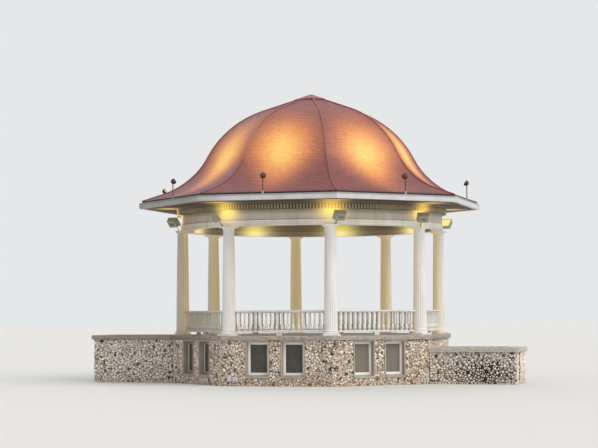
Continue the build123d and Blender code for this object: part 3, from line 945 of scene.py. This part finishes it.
def makeWing(side, sign, seed):
    low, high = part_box(f"{side}_wing_walls")
    end = max(abs(low.x), abs(high.x))
    path = mirrored([(wallFace, low.y), (end, low.y), (end, high.y), (wallFace, high.y)], sign)
    gap = wings["joint"] / 2
    openings = []
    if sign > 0:
        middle = end - wallFace + wings["jointFromFront"]
        openings.append((middle - gap, middle + gap, 0.0, high.z))

    def wide(u, z):
        # mortar washed out low in the middle of the right wing's front
        across, rise = washoutAndShade["wide"]
        far = ((u - washoutAndShade["x"] + wallFace) / across) ** 2 + ((z - washoutAndShade["z"]) / rise) ** 2
        return washoutAndShade["gap"] * np.exp(-far) * (sign > 0)

    site, points, faces, tone = stoneBed(path, False, high.z, openings, seed, wide)
    sunk, thick = -rubble["sunk"], -wings["thickness"]
    outline = [(thick, 0.0), (sunk, 0.0), (sunk, high.z), (thick, high.z)]
    if sign > 0:
        cut = low.y + wings["jointFromFront"]
        parts = [carriedShape(outline, [*path[:2], (end, cut - gap)], False)]
        parts.append(carriedShape(outline, [(end, cut + gap), *path[2:]], False))
        deep = wings["thickness"] - wings["jointDepth"]
        middle = (end - wings["jointDepth"] - deep / 2, cut, high.z / 2)
        core = joined(parts + [blockShape((deep, wings["joint"] + 0.01, high.z), middle, 0.002)])
    else:
        core = carriedShape(outline, path, False)
    # more cream and grey stones than in the podium
    tone = np.where(tone > 0, wings["paler"] + (1 - wings["paler"]) * tone, 0)
    makeRubble(f"{side}WingRubble", f"{side}_wing_walls", points, faces, tone, [(core, "mortar")])
    print(side, "wing:", len(site), "stones")


# Columns

column = {
    "plinth": 0.57, "plinthHeight": 0.06, "base": 0.11, "bottom": 0.45, "top": 0.37,
    "capital": 0.15, "abacus": 0.48, "abacusHeight": 0.055, "segments": 40,
    "taper": (0.45, 0.55),  # shares of the taper that grow with the height and with its square
    "flutes": 20, "fluteDepth": 0.011, "fillet": 0.22,
    "tips": (0, 0.03, 0.045, 0.06, 0.08, 0.11),  # heights of the rings at a flute's end
    "across": (-0.5, -0.39, -0.31, -0.17, 0.0, 0.17, 0.31, 0.39),  # the points of one flute
    # mouldings from the shaft's lower radius at the plinth's top: number of points to a step, and the steps
    "torus": (4, [(0.030, 0.0), (0.046, 0.022), (0.030, 0.046)]),
    "scotia": (3, [(0.024, 0.050), (0.010, 0.066), (0.018, 0.080)]),
    "upperTorus": (3, [(0.012, 0.083), (0.022, 0.093), (0.010, 0.104)]),
    # and from its upper radius at the capital's foot
    "neck": (1, [
        (-0.03, -0.002), (0.006, 0), (0.013, 0.006), (0.014, 0.014), (0.008, 0.022), (0, 0.026), (0, 0.052),
        (0.008, 0.054), (0.010, 0.060),
    ]),
}


def moulding(x, z, runs):
    # a turned outline from one point: each run is a curve through its steps
    return np.concatenate([curveThrough(fromPoint(x, z, steps), per) for per, steps in runs])


def flutedShaft(low, high):
    # radius r(z) less depth * sqrt(1 - x^2) across each flute, x from -1 to 1, fading out at both ends
    tips, across = np.array(column["tips"]), np.array(column["across"])
    z = np.concatenate([low + tips, np.linspace(low + 0.3, high - 0.3, 8), high - tips[::-1]])
    t = (z - low) / (high - low)
    taper = column["taper"][0] * t + column["taper"][1] * t ** 2
    radius = column["bottom"] / 2 - (column["bottom"] - column["top"]) / 2 * taper
    a = ((np.arange(column["flutes"])[:, None] + across) / column["flutes"] * 2 * math.pi).ravel()
    x = np.clip(across / (0.5 * (1 - column["fillet"])), -1, 1)
    groove = np.tile(np.sqrt(1 - x ** 2), column["flutes"])
    toEnd = np.clip((np.minimum(z - low, high - z) - 0.03) / 0.06, 0, 1)
    fade = np.sqrt(1 - (1 - toEnd) ** 2) * radius / radius[0]
    r = radius[:, None] - column["fluteDepth"] * groove * fade[:, None]
    points = np.stack([r * np.cos(a), r * np.sin(a), np.broadcast_to(z[:, None], r.shape)], -1)
    return gridShape(points, wrapCols=True)


def makeColumns():
    height, foot = beamLevel - deckTop, column["plinthHeight"]
    head, b, t = height - column["capital"], column["base"], column["abacusHeight"]
    wide, high = (column["abacus"] - column["top"]) / 2, column["capital"] - t
    runs = [(1, [(0.02, -0.002)]), column["torus"], column["scotia"], column["upperTorus"]]
    runs.append((1, [(0.006, 0.106), (0.004, b), (-0.02, b)]))
    base = turnedShape(moulding(column["bottom"] / 2, foot, runs), column["segments"])
    swell = (4, [(0.012, 0.062), (0.030, 0.070), (wide - 0.010, 0.089), (wide - 0.006, high)])
    runs = [column["neck"], swell, (1, [(0, high + 0.001)])]
    capital = turnedShape(moulding(column["top"] / 2, head, runs), column["segments"])
    p, c = column["plinth"], column["abacus"]
    plinth = blockShape((p, p, foot), (0, 0, foot / 2), 0.006)
    bed = blockShape((c - 0.02, c - 0.02, t * 0.3), (0, 0, height - t * 0.85))
    slab = blockShape((c, c, t * 0.72), (0, 0, height - t * 0.36))
    whole = joined([plinth, base, flutedShaft(foot + b, head), capital, bed, slab])
    for k in range(8):
        shape = moved(whole, 45 * k - 22.5, (columnRadius, 0, deckTop))
        makePiece(f"flutedColumn_{k + 1}", [(shape, "paint")], f"column_{k + 1}", 32)
    print("columns: 8, each with", column["flutes"], "flutes")


# Balustrades

rail = {
    "height": 0.84, "thickness": 0.075, "width": 0.15,
    "lowLift": 0.11, "lowThickness": 0.05, "lowWidth": 0.12,
    "count": 16, "segments": 12,
    "plinthGap": 0.53, "postGap": 0.54,  # taken off the columns' spacing by the low rail and by the balusters
    "block": (0.11, 0.2),
    # steps from each rail's lower edge, on one side
    "top": [
        (-0.030, 0), (-0.022, 0.012), (-0.014, 0.020), (-0.004, 0.028), (0, 0.039), (0, 0.053),
        (-0.006, 0.065), (-0.020, 0.075),
    ],
    "low": [(-0.004, 0), (0, 0.004), (0, 0.032), (-0.008, 0.036), (-0.014, 0.046), (-0.020, 0.050)],
    # a baluster's radii and heights, as shares of its whole height
    "baluster": [
        (0.048, 0.0), (0.048, 0.035), (0.036, 0.05), (0.040, 0.075), (0.054, 0.115), (0.060, 0.175),
        (0.056, 0.235), (0.042, 0.30), (0.030, 0.345), (0.028, 0.365), (0.037, 0.385), (0.037, 0.40),
        (0.030, 0.415), (0.035, 0.45), (0.034, 0.53), (0.030, 0.64), (0.028, 0.78), (0.028, 0.86),
        (0.038, 0.885), (0.038, 0.91), (0.030, 0.93), (0.042, 0.965), (0.043, 1.0),
    ],
}


def railShape(halfWidth, low, steps, length):
    # one side's outline and its mirror image, drawn along Y
    half = fromPoint(halfWidth, low, steps)
    return carriedShape(half + [(-x, z) for x, z in half[::-1]], [(0, -length / 2), (0, length / 2)], False)


def makeBalustrades():
    foot, low = rail["lowLift"], rail["lowLift"] + rail["lowThickness"]
    top = rail["height"] - rail["thickness"]
    span = 2 * columnRadius * math.sin(halfTurn)
    topRail = railShape(rail["width"] / 2, top, rail["top"], span - column["bottom"] + 0.02)
    lowRail = railShape(rail["lowWidth"] / 2, foot, rail["low"], span - rail["plinthGap"])
    block = blockShape((*rail["block"], foot), (0, 0, foot / 2), 0.005)
    heights = [(r, low - 0.002 + share * (top - low + 0.004)) for r, share in rail["baluster"]]
    post, clear, count = turnedShape(heights, rail["segments"]), span - rail["postGap"], rail["count"]
    posts = [moved(post, by=(0, ((i + 0.5) / count - 0.5) * clear, 0)) for i in range(count)]
    whole = joined([topRail, lowRail, block] + posts)
    for k in range(8):
        shape = moved(whole, 45 * k, (columnLine, 0, deckTop))
        makePiece(f"turnedBalustrade_{k + 1}", [(shape, "rail")], f"balustrade_{k + 1}", 40)
    print("balustrades: 8 bays of", count, "balusters")


# Entablature

entablature = {
    "segments": 240, "inner": beamRadius - 0.4,
    "face": friezeRadius + 0.075,  # the wall behind the dentils
    "lip": 0.074, "lipDrop": 0.085,  # the moulding over the dentils: its reach and its foot below the soffit
    "dentils": 276, "tooth": 0.056, "toothReach": 0.07,
    "lapse": 0.002,  # clear of the soffit
    # steps from the beam's lower and upper edge, from the frieze's, and from the lip's foot
    "beamFoot": [(-0.012, 0), (-0.002, 0.006), (0, 0.022), (-0.006, 0.028), (-0.008, 0.032)],
    "beamHead": [(-0.008, -0.030), (-0.002, -0.026), (0, -0.018), (-0.003, -0.006), (-0.012, 0)],
    "friezeFoot": [(-0.030, 0.014), (-0.010, 0.018)],
    "friezeHead": [(-0.010, -0.024), (-0.004, -0.020), (0, -0.010), (-0.002, 0)],
    "lipSteps": [
        (-0.004, 0), (0, 0.004), (0, 0.018), (-0.006, 0.024), (-0.004, 0.036), (0.003, 0.048),
        (0.010, 0.058), (0.013, 0.066),
    ],
}


def ringPart(profile, key):
    # an outline carried round the axis, and its finish
    return turnedShape(profile, entablature["segments"], closed=True), key


def makeEntablature():
    inner, r, z0, z1 = entablature["inner"], beamRadius, beamLevel, friezeLevel
    beam = [(inner, z0)] + fromPoint(r, z0, entablature["beamFoot"])
    beam += fromPoint(r, z1, entablature["beamHead"])
    beam += fromPoint(inner, z1, [(0, 0), (0, -0.02), (0.006, -0.024)])
    beam += fromPoint(inner, z0, [(0.006, 0.03), (0, 0.024)])
    makePiece("roundBeam", [ringPart(beam, "beam")], "architrave", 40)
    r, z0, z1 = friezeRadius, friezeLevel, corniceLevel
    band = fromPoint(r, z0, entablature["friezeFoot"]) + fromPoint(r, z1, entablature["friezeHead"])
    band += [(inner, z1), (inner, z0 + 0.014)]
    # the groove takes the dentils' darker paint: a painted shade line between beam and frieze
    groove = [(inner, z0), (r - 0.026, z0), (r - 0.026, z0 + 0.016), (inner, z0 + 0.016)]
    layers = [ringPart(band, "frieze"), ringPart(groove, "dentil")]
    makePiece("roundFrieze", layers, "frieze", 40)
    back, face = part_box("ceiling")[1].x, entablature["face"]
    top, clear = soffitLevel - entablature["lipDrop"], soffitLevel - entablature["lapse"]
    lip, over = face + entablature["lip"], top - 0.004
    # the wall behind the teeth takes the near-black paint: painted shade between them
    wall = [(back, z1), (face - 0.008, z1), (face, z1 + 0.006), (face, over), (back, over)]
    bed = [(back, over), (face, over)] + fromPoint(lip, top, entablature["lipSteps"])
    bed += [(lip + 0.014, clear), (back, clear)]
    low, high = z1 + 0.010, top - 0.006
    size = (entablature["toothReach"] + 0.01, entablature["tooth"], high - low)
    tooth = blockShape(size, (face - 0.01 + size[0] / 2, 0, (low + high) / 2), 0.003)
    turns = np.arange(entablature["dentils"]) / entablature["dentils"] * 360
    teeth = repeated(np.stack([turnPoints(tooth[0], turn) for turn in turns]), tooth[1])
    layers = [ringPart(wall, "shade"), ringPart(bed, "bed"), (teeth, "dentil")]
    makePiece("dentilCornice", layers, "dentil_cornice", 40)
    print("entablature with", entablature["dentils"], "dentils")


# Eave

eave = {
    "board": 0.11, "groove": 0.006, "thickness": 0.03,
    "overlap": 0.28,  # the boards' part inside the dentils' wall
    "back": 0.13,  # the gutter's depth
    "bead": 0.016, "sleeve": 0.09, "sleeveBack": 0.0035,
}


def makeEave():
    outer, inner = gutterFace - eave["back"], entablature["face"] - eave["overlap"]
    z, g, f, t, b = soffitLevel, eave["groove"], gutterFace, gutterTop, eave["bead"]
    rows = [(inner, z + eave["thickness"]), (inner, z)]
    for edge in np.arange(outer - eave["board"], inner + 0.02, -eave["board"])[::-1]:
        rows += fromPoint(edge, z, [(-g / 2, 0), (-g / 4, g), (g / 4, g), (g / 2, 0)])
    rows += [(outer, z), (outer, z + eave["thickness"])]
    makePiece("soffitBoards", [(eightSided(rows), "soffit")], "soffit", 30)
    trough = [(outer, z)] + fromPoint(f, z, [(-0.012, 0), (-0.006, 0.006)])
    trough += fromPoint(f, t - 2 * b, [(-0.006, -0.012), (-b, 0)])
    trough += arcPoints(f - b, t - b, b, -0.5 * math.pi, math.pi, 8) + [(f - 2 * b, t - 2 * b - 0.02)]
    trough += [(f - 0.018, z + 0.06), (outer + 0.04, z + 0.06), (outer + 0.04, t), (outer, t)]
    # a sleeve over the joint at each corner
    point = np.array(octagonCorners(f - eave["sleeveBack"] * math.cos(halfTurn))[0])
    way = np.array([math.sin(2 * halfTurn), math.cos(2 * halfTurn)])
    path = [point - way * eave["sleeve"], point, point + [0, eave["sleeve"]]]
    skin = fromPoint(0, z, [(-0.006, 0), (0, 0), (0.003, 0.004)])
    skin += fromPoint(0, t, [(0.003, -0.002), (-0.03, -0.002), (-0.03, -0.006), (-0.006, -0.006)])
    sleeve = carriedShape(skin, path, False)
    layers = [(eightSided(trough), "gutter")] + [(moved(sleeve, 45 * k), "gutter") for k in range(8)]
    makePiece("eaveGutter", layers, "gutter", 30)
    print("eave done")


# Dome

dome = {
    "haunch": (4.223, 0.590, 2.6),  # corner radius, rise over the roof's edge and radius of its curve
    "shoulder": (3.012, 2.774, 3.3),
    "rise": roofTop - gutterTop - 0.06,
    "edge": 0.06, "thickness": 0.05, "lip": 0.002,
    "course": 0.105, "butt": 0.007, "across": 6,
    "ridge": 0.024, "ridgeWidth": 1.3, "ridgeSwell": 0.12, "ridgeRows": 60,
    "cap": 0.56, "capLift": 0.042, "capRoll": 0.022,
}


def filletedLine(points, radii, step):
    # straight runs joined by arcs that touch both, as points about a step apart
    points = [np.array(p, float) for p in points]
    line = [points[0][None]]
    for a, b, c, radius in zip(points, points[1:], points[2:], radii):
        u, v = (a - b) / np.linalg.norm(a - b), (c - b) / np.linalg.norm(c - b)
        half = math.acos(np.clip(u @ v, -1, 1)) / 2
        reach, sweep = radius / math.tan(half), math.pi - 2 * half
        middle = b + (u + v) / np.linalg.norm(u + v) * radius / math.sin(half)
        first, last = b + u * reach - middle, b + v * reach - middle
        t = np.linspace(0, 1, max(3, int(radius * sweep / step)))[:, None]
        line.append(middle + (np.sin((1 - t) * sweep) * first + np.sin(t * sweep) * last) / math.sin(sweep))
    return np.concatenate(line + [points[-1][None]])


def roofOutline():
    # the roof over the middle of a face, from the eave to the point, and the length up to each point of it
    foot, bends = gutterTop + dome["edge"], (dome["haunch"], dome["shoulder"])
    corners = [(radius * math.cos(halfTurn), foot + rise) for radius, rise, curve in bends]
    corners = [(roofEdge, foot), *corners, (0.0, foot + dome["rise"])]
    line = filletedLine(corners, [curve for radius, rise, curve in bends], 0.03)
    return line, np.concatenate([[0], np.cumsum(np.linalg.norm(np.diff(line, axis=0), axis=1))])


roofLine, roofLength = roofOutline()


def roofPlace(s):
    # point and outward direction at a length up the outline
    p, q, o = (
        np.stack([np.interp(at, roofLength, roofLine[:, i]) for i in (0, 1)], -1)
        for at in (s, np.minimum(s + 0.02, roofLength[-1]), np.maximum(s - 0.02, 0))
    )
    d = (q - o) / np.linalg.norm(q - o, axis=-1, keepdims=True)
    return p, np.stack([d[..., 1], -d[..., 0]], -1)


def makeDome():
    end, course = roofLength[-1], dome["course"]
    count = int(end / course)
    starts = np.arange(count) * course
    p, out = roofPlace(np.stack([starts, np.minimum(starts + course, end)], -1).ravel())
    outer = p - out * np.tile([0.0, dome["butt"]], count)[:, None]
    p, out = roofPlace(np.linspace(end, 0, 24))
    inner = p - out * dome["thickness"]
    outer[-1, 0] = inner[0, 0] = 0
    edge, top = p[-1, 0], gutterTop + dome["edge"]
    inner[-1] = (edge - 0.06, gutterTop)
    lip = [(edge - 0.03, gutterTop), (edge - dome["lip"], gutterTop), (edge - dome["lip"], top - 0.014)]
    lip += [(edge, top - 0.012), (edge, top - 0.001)]
    points, faces = eightSided(np.concatenate([inner, lip, outer]), dome["across"], False)
    first = points[faces[:, 0]]
    dark = (first[:, 2] < top - 0.005) & (np.linalg.norm(first[:, :2], axis=1) > edge - 0.07)
    layers = [((points, faces[~dark]), "roof"), ((points, faces[dark]), "roofEdge")]
    makePiece("shingledDome", layers, "dome_roof", 9)
    print("dome with", count, "courses")


def makeHipRolls():
    # a roll along the corner line between two faces, its rings swelling by turns
    p, out = roofPlace(np.linspace(0.0, roofLength[-1] - 0.35, dome["ridgeRows"]))
    middle = np.stack([p[:, 0] / math.cos(halfTurn), p[:, 1]], -1) + out * 0.004
    way = np.gradient(middle, axis=0)
    way /= np.linalg.norm(way, axis=1, keepdims=True)
    side = np.stack([way[:, 1], -way[:, 0]], -1)
    thick = dome["ridge"] * (1 + dome["ridgeSwell"] * (np.arange(len(p)) % 2))[:, None]
    cosine, sine = circlePoints(10).T
    xz = middle[:, None] + side[:, None] * (thick * cosine)[..., None]
    roll = tubeShape(np.stack([xz[..., 0], -thick * dome["ridgeWidth"] * sine, xz[..., 1]], -1))
    makePiece("hipRolls", [(moved(roll, 45 * k - 22.5), "roof") for k in range(8)], sharp=50)
    print("hip rolls: 8")


def makeApexCap():
    p, out = roofPlace(np.linspace(roofLength[-1] - dome["cap"], roofLength[-1], 8))
    top, low = p + out * dome["capLift"], (p + out * 0.004)[::-1]
    top[-1, 0] = low[0, 0] = 0
    rim, r = p[0] + out[0] * 0.02, dome["capRoll"]
    roll = arcPoints(*rim, r, -2.0, 1.0, 6)
    cap = eightSided(np.concatenate([low, roll, top]), 2, False)
    makePiece("apexCap", [(cap, "roof")], "apex_cap", 25)
    print("apex cap done")


# Lamps

spotlight = {
    "post": 0.016, "rise": 0.575, "radius": 0.095, "depth": 0.13, "tilt": 30, "across": 0.235, "shift": 0.075,
    # outlines as shares of the radius and the depth
    "shell": [
        (0, -0.5), (0.3, -0.5), (0.62, -0.38), (0.92, -0.1), (1, 0.1), (1, 0.44), (1.04, 0.45), (1.04, 0.5),
        (0.9, 0.5), (0.86, 0.36), (0.5, 0.3), (0, 0.28),
    ],
    "lens": [(0, 0.3), (0.86, 0.34), (0.8, 0.4), (0.4, 0.43), (0, 0.44)],
}


def tilted(shape, degrees):
    # turned about Y: x' = x cos a + z sin a, z' = z cos a - x sin a
    a = math.radians(degrees)
    x, y, z = shape[0].T
    return np.stack([x * math.cos(a) + z * math.sin(a), y, z * math.cos(a) - x * math.sin(a)], -1), shape[1]


def makeSpotlights():
    foot = soffitLevel + 0.06
    rise, p = gutterTop + spotlight["rise"] - foot, spotlight["post"]
    profile = [(0, 0), (p * 2.2, 0), (p * 2.2, 0.008), (p, 0.012)]
    profile += fromPoint(0, rise, [(p, -0.03), (p * 1.5, -0.02), (p * 1.5, 0), (0, 0)])
    shapes = [(turnedShape(profile, 14), "lampDark")]
    for part, key in (("shell", "lampDark"), ("lens", "glass")):
        body = turnedShape(np.array(spotlight[part]) * (spotlight["radius"], spotlight["depth"]), 20)
        shapes.append((moved(tilted(body, spotlight["tilt"] - 90), by=(0, 0, rise)), key))
    shapes.append((blockShape((0.05, 0.06, 0.13), (0, 0, gutterTop - foot + 0.03)), "gutter"))
    layers = []
    for k in range(8):
        at = (gutterFace - 0.035, spotlight["shift"] + spotlight["across"] * (1 if k % 2 else -1), foot)
        layers += [(moved(shape, 45 * k, at), key) for shape, key in shapes]
    makePiece("roofSpotlights", layers, "roof_spotlights")
    print("roof spotlights: 8")


floodlight = {
    "depth": 0.185, "width": 0.42, "height": 0.33, "tilt": 38,
    "turn": 45, "openTurn": 15,  # degrees out from the column's own direction, for one lamp less
    "at": (0.35, 0.27, 0.275),  # the lamp's middle, from the column's axis and the beam's underside
    "foot": 0.15, "armRadius": 0.009,
    # places along the depth and sizes of the rings, as shares
    "housing": ((-0.5, 0.97), (-0.5, 1.0), (-0.34, 1.0), (-0.34, 0.93), (0.3, 0.84), (0.5, 0.8), (0.5, 0.74)),
    "pane": ((-0.44, 0.6), (-0.40, 0.97)),
    "knob": [(0.03, 0.0), (0.03, 0.012), (0.022, 0.02), (0, 0.02)],
    "fins": (-0.09, -0.06, 0.06, 0.09),
}


def floodRings(key):
    # rectangles across the lamp: rings x 4 x 3
    w, h = floodlight["width"] / 2, floodlight["height"] / 2
    corners = ((-1, -1), (-1, 1), (1, 1), (1, -1))
    return np.array([
        [(x * floodlight["depth"], s * share * w, c * share * h) for s, c in corners]
        for x, share in floodlight[key]
    ])


def lampArms(side, middle):
    # the foot plate on the column's head and the two bent rods from it to the lamp
    ledge = (column["abacus"] / 2 + beamRadius - columnRadius) / 2
    start = np.array([columnRadius + ledge, side * floodlight["foot"], beamLevel])
    parts = [blockShape((0.06, 0.06, 0.014), start + [0, 0, 0.007], 0.002)]
    circle = np.pad(circlePoints(8), ((0, 0), (0, 1))) * floodlight["armRadius"]
    end = middle - [0, side * 0.02, 0.05]
    for shift in (-0.012, 0.012):
        bends = (start + [0, shift, 0.01], start + [0.03, shift + side * 0.02, 0.09], end)
        parts.append(tubeShape(curveThrough(bends, 4)[:, None] + circle))
    return joined(parts)


def makeFloodlights():
    back, fin = floodlight["depth"] / 2, (0.02, 0.008, floodlight["height"] / 2)
    fins = [blockShape(fin, (back + 0.006, y, 0), 0.002) for y in floodlight["fins"]]
    housing = joined([tubeShape(floodRings("housing"), start=False)] + fins)
    knob = moved(tilted(turnedShape(floodlight["knob"], 16), 90), by=(back, 0, 0))
    pane = tubeShape(floodRings("pane"), end=False)
    shapes = [(tilted(shape, floodlight["tilt"]), key) for shape, key in (
        (housing, "lamp"), (knob, "lampDark"), (pane, "glass"),
    )]
    x, across, z = floodlight["at"]
    layers = []
    for k in range(8):
        side, turn = (1 if k % 2 else -1), 45 * k - 22.5
        at = np.array([x + columnRadius, side * across, z + beamLevel])
        aim = side * floodlight["openTurn" if k == 7 else "turn"]
        layers += [(moved(moved(shape, aim), turn, at), key) for shape, key in shapes]
        layers.append((moved(lampArms(side, at), turn), "steel"))
    makePiece("columnFloodlights", layers, "column_floodlights")
    print("floodlights: 8")


def makeOutlets():
    # each has a back box, a cover and a hinge, as shares of the box's size
    low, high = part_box("outlet_boxes")
    size, depth = high.z - low.z, high.y - low.y
    shapes = []
    for x in (low.x + size / 2, high.x - size / 2):
        box = (x, high.y - depth * 0.35, low.z + size / 2)
        cover = (x, low.y + depth * 0.16, low.z + size * 0.48)
        hinge = (x, low.y + depth * 0.28, high.z - 0.008)
        shapes.append(blockShape((size, depth * 0.7, size), box, 0.008))
        shapes.append(blockShape((size * 0.94, depth * 0.3, size * 0.88), cover, 0.01))
        shapes.append(blockShape((size * 0.5, depth * 0.16, 0.014), hinge, 0.003))
    makePiece("outletBoxes", [(joined(shapes), "plastic")], "outlet_boxes")
    print("outlet boxes: 2")


makePodium()
makeWindows()
makeCopings()
makeWing("right", 1, 23)
makeWing("left", -1, 37)
makeColumns()
makeBalustrades()
makeEntablature()
makeEave()
makeDome()
makeHipRolls()
makeApexCap()
makeSpotlights()
makeFloodlights()
makeOutlets()

# pieces that are shown as the frame has them
plainPieces = {
    "deck_floor": "concrete", "ground_floor": "concrete",
    "window_screens": "screen", "window_sills": "plaster", "ceiling": "soffit",
}
for node, key in plainPieces.items():
    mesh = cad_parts[node].data
    mesh.materials.clear()
    mesh.materials.append(finish[key])
print("carried-over pieces finished")

# Floor, light and camera

stage = {
    "floor": "#D9D8D4", "sky": "#E6E7E8", "skyTint": "#F4F6F8", "skyLight": 0.66, "softness": 50,
    # each sun's strength, turn about the bandstand and height in degrees, and colour
    "suns": {"keySun": (2.0, 65, 42, "#FFFBF5"), "fillSun": (0.55, 210, 40, "#EAF1FF")},
}

bpy.ops.mesh.primitive_circle_add(vertices=64, radius=400, fill_type="NGON", location=(0, 0, -0.002))
floor = bpy.context.object
floor.name = "stageFloor"
floor.data.materials.append(newMaterial("paleFloor", stage["floor"], 0.95)[0])

world = bpy.data.worlds.new("softSky")
bpy.context.scene.world = world
world.use_nodes = True
sky = world.node_tree
background = sky.nodes["Background"]
feed(background, {"Color": stage["skyTint"], "Strength": stage["skyLight"]})
rays = [addNode(sky, "LightPath", output=f"Is {kind} Ray") for kind in ("Camera", "Glossy", "Transmission")]
seen = addNode(sky, "MAXIMUM", rays[0], addNode(sky, "MAXIMUM", *rays[1:]))
shown = addNode(sky, "Background", stage["sky"], 1.0)
feed(sky.nodes["World Output"], {"Surface": addNode(sky, "MixShader", seen, background.outputs[0], shown)})


def placed(name, data, position, turn):
    # a new object of the scene at a place, turned by a quaternion
    holder = bpy.data.objects.new(name, data)
    bpy.context.scene.collection.objects.link(holder)
    holder.location = position
    holder.rotation_mode = "QUATERNION"
    holder.rotation_quaternion = turn
    return holder


for name, (energy, azimuth, height, color) in stage["suns"].items():
    sun = bpy.data.lights.new(name, "SUN")
    sun.energy = energy
    sun.angle = math.radians(stage["softness"])
    sun.color = linearColor(color)[:3]
    a, e = math.radians(azimuth), math.radians(height)
    toSun = Vector((math.sin(a) * math.cos(e), -math.cos(a) * math.cos(e), math.sin(e)))
    placed(name, sun, (0, 0, 0), toSun.to_track_quat("Z", "Y"))

view = {
    "azimuth": 14.8, "distance": 61.5, "height": 2.32, "lens": 104.57,
    "left": 0.42, "up": 3.01, "roll": 0.28,  # degrees that the camera turns from the bandstand's axis
}

lens = bpy.data.cameras.new("camera")
lens.lens = view["lens"]
lens.sensor_width = 36
lens.clip_end = 1000
a = math.radians(view["azimuth"])
turned = Matrix.Rotation(a + math.radians(view["left"]), 4, "Z")
turned = turned @ Matrix.Rotation(math.radians(90 + view["up"]), 4, "X")
turned = turned @ Matrix.Rotation(-math.radians(view["roll"]), 4, "Z")
eye = (view["distance"] * math.sin(a), -view["distance"] * math.cos(a), view["height"])
bpy.context.scene.camera = placed("camera", lens, eye, turned.to_quaternion())
bpy.context.scene.view_settings.view_transform = "Standard"
print("camera", view["distance"], "m away")

bpy.context.view_layer.update()
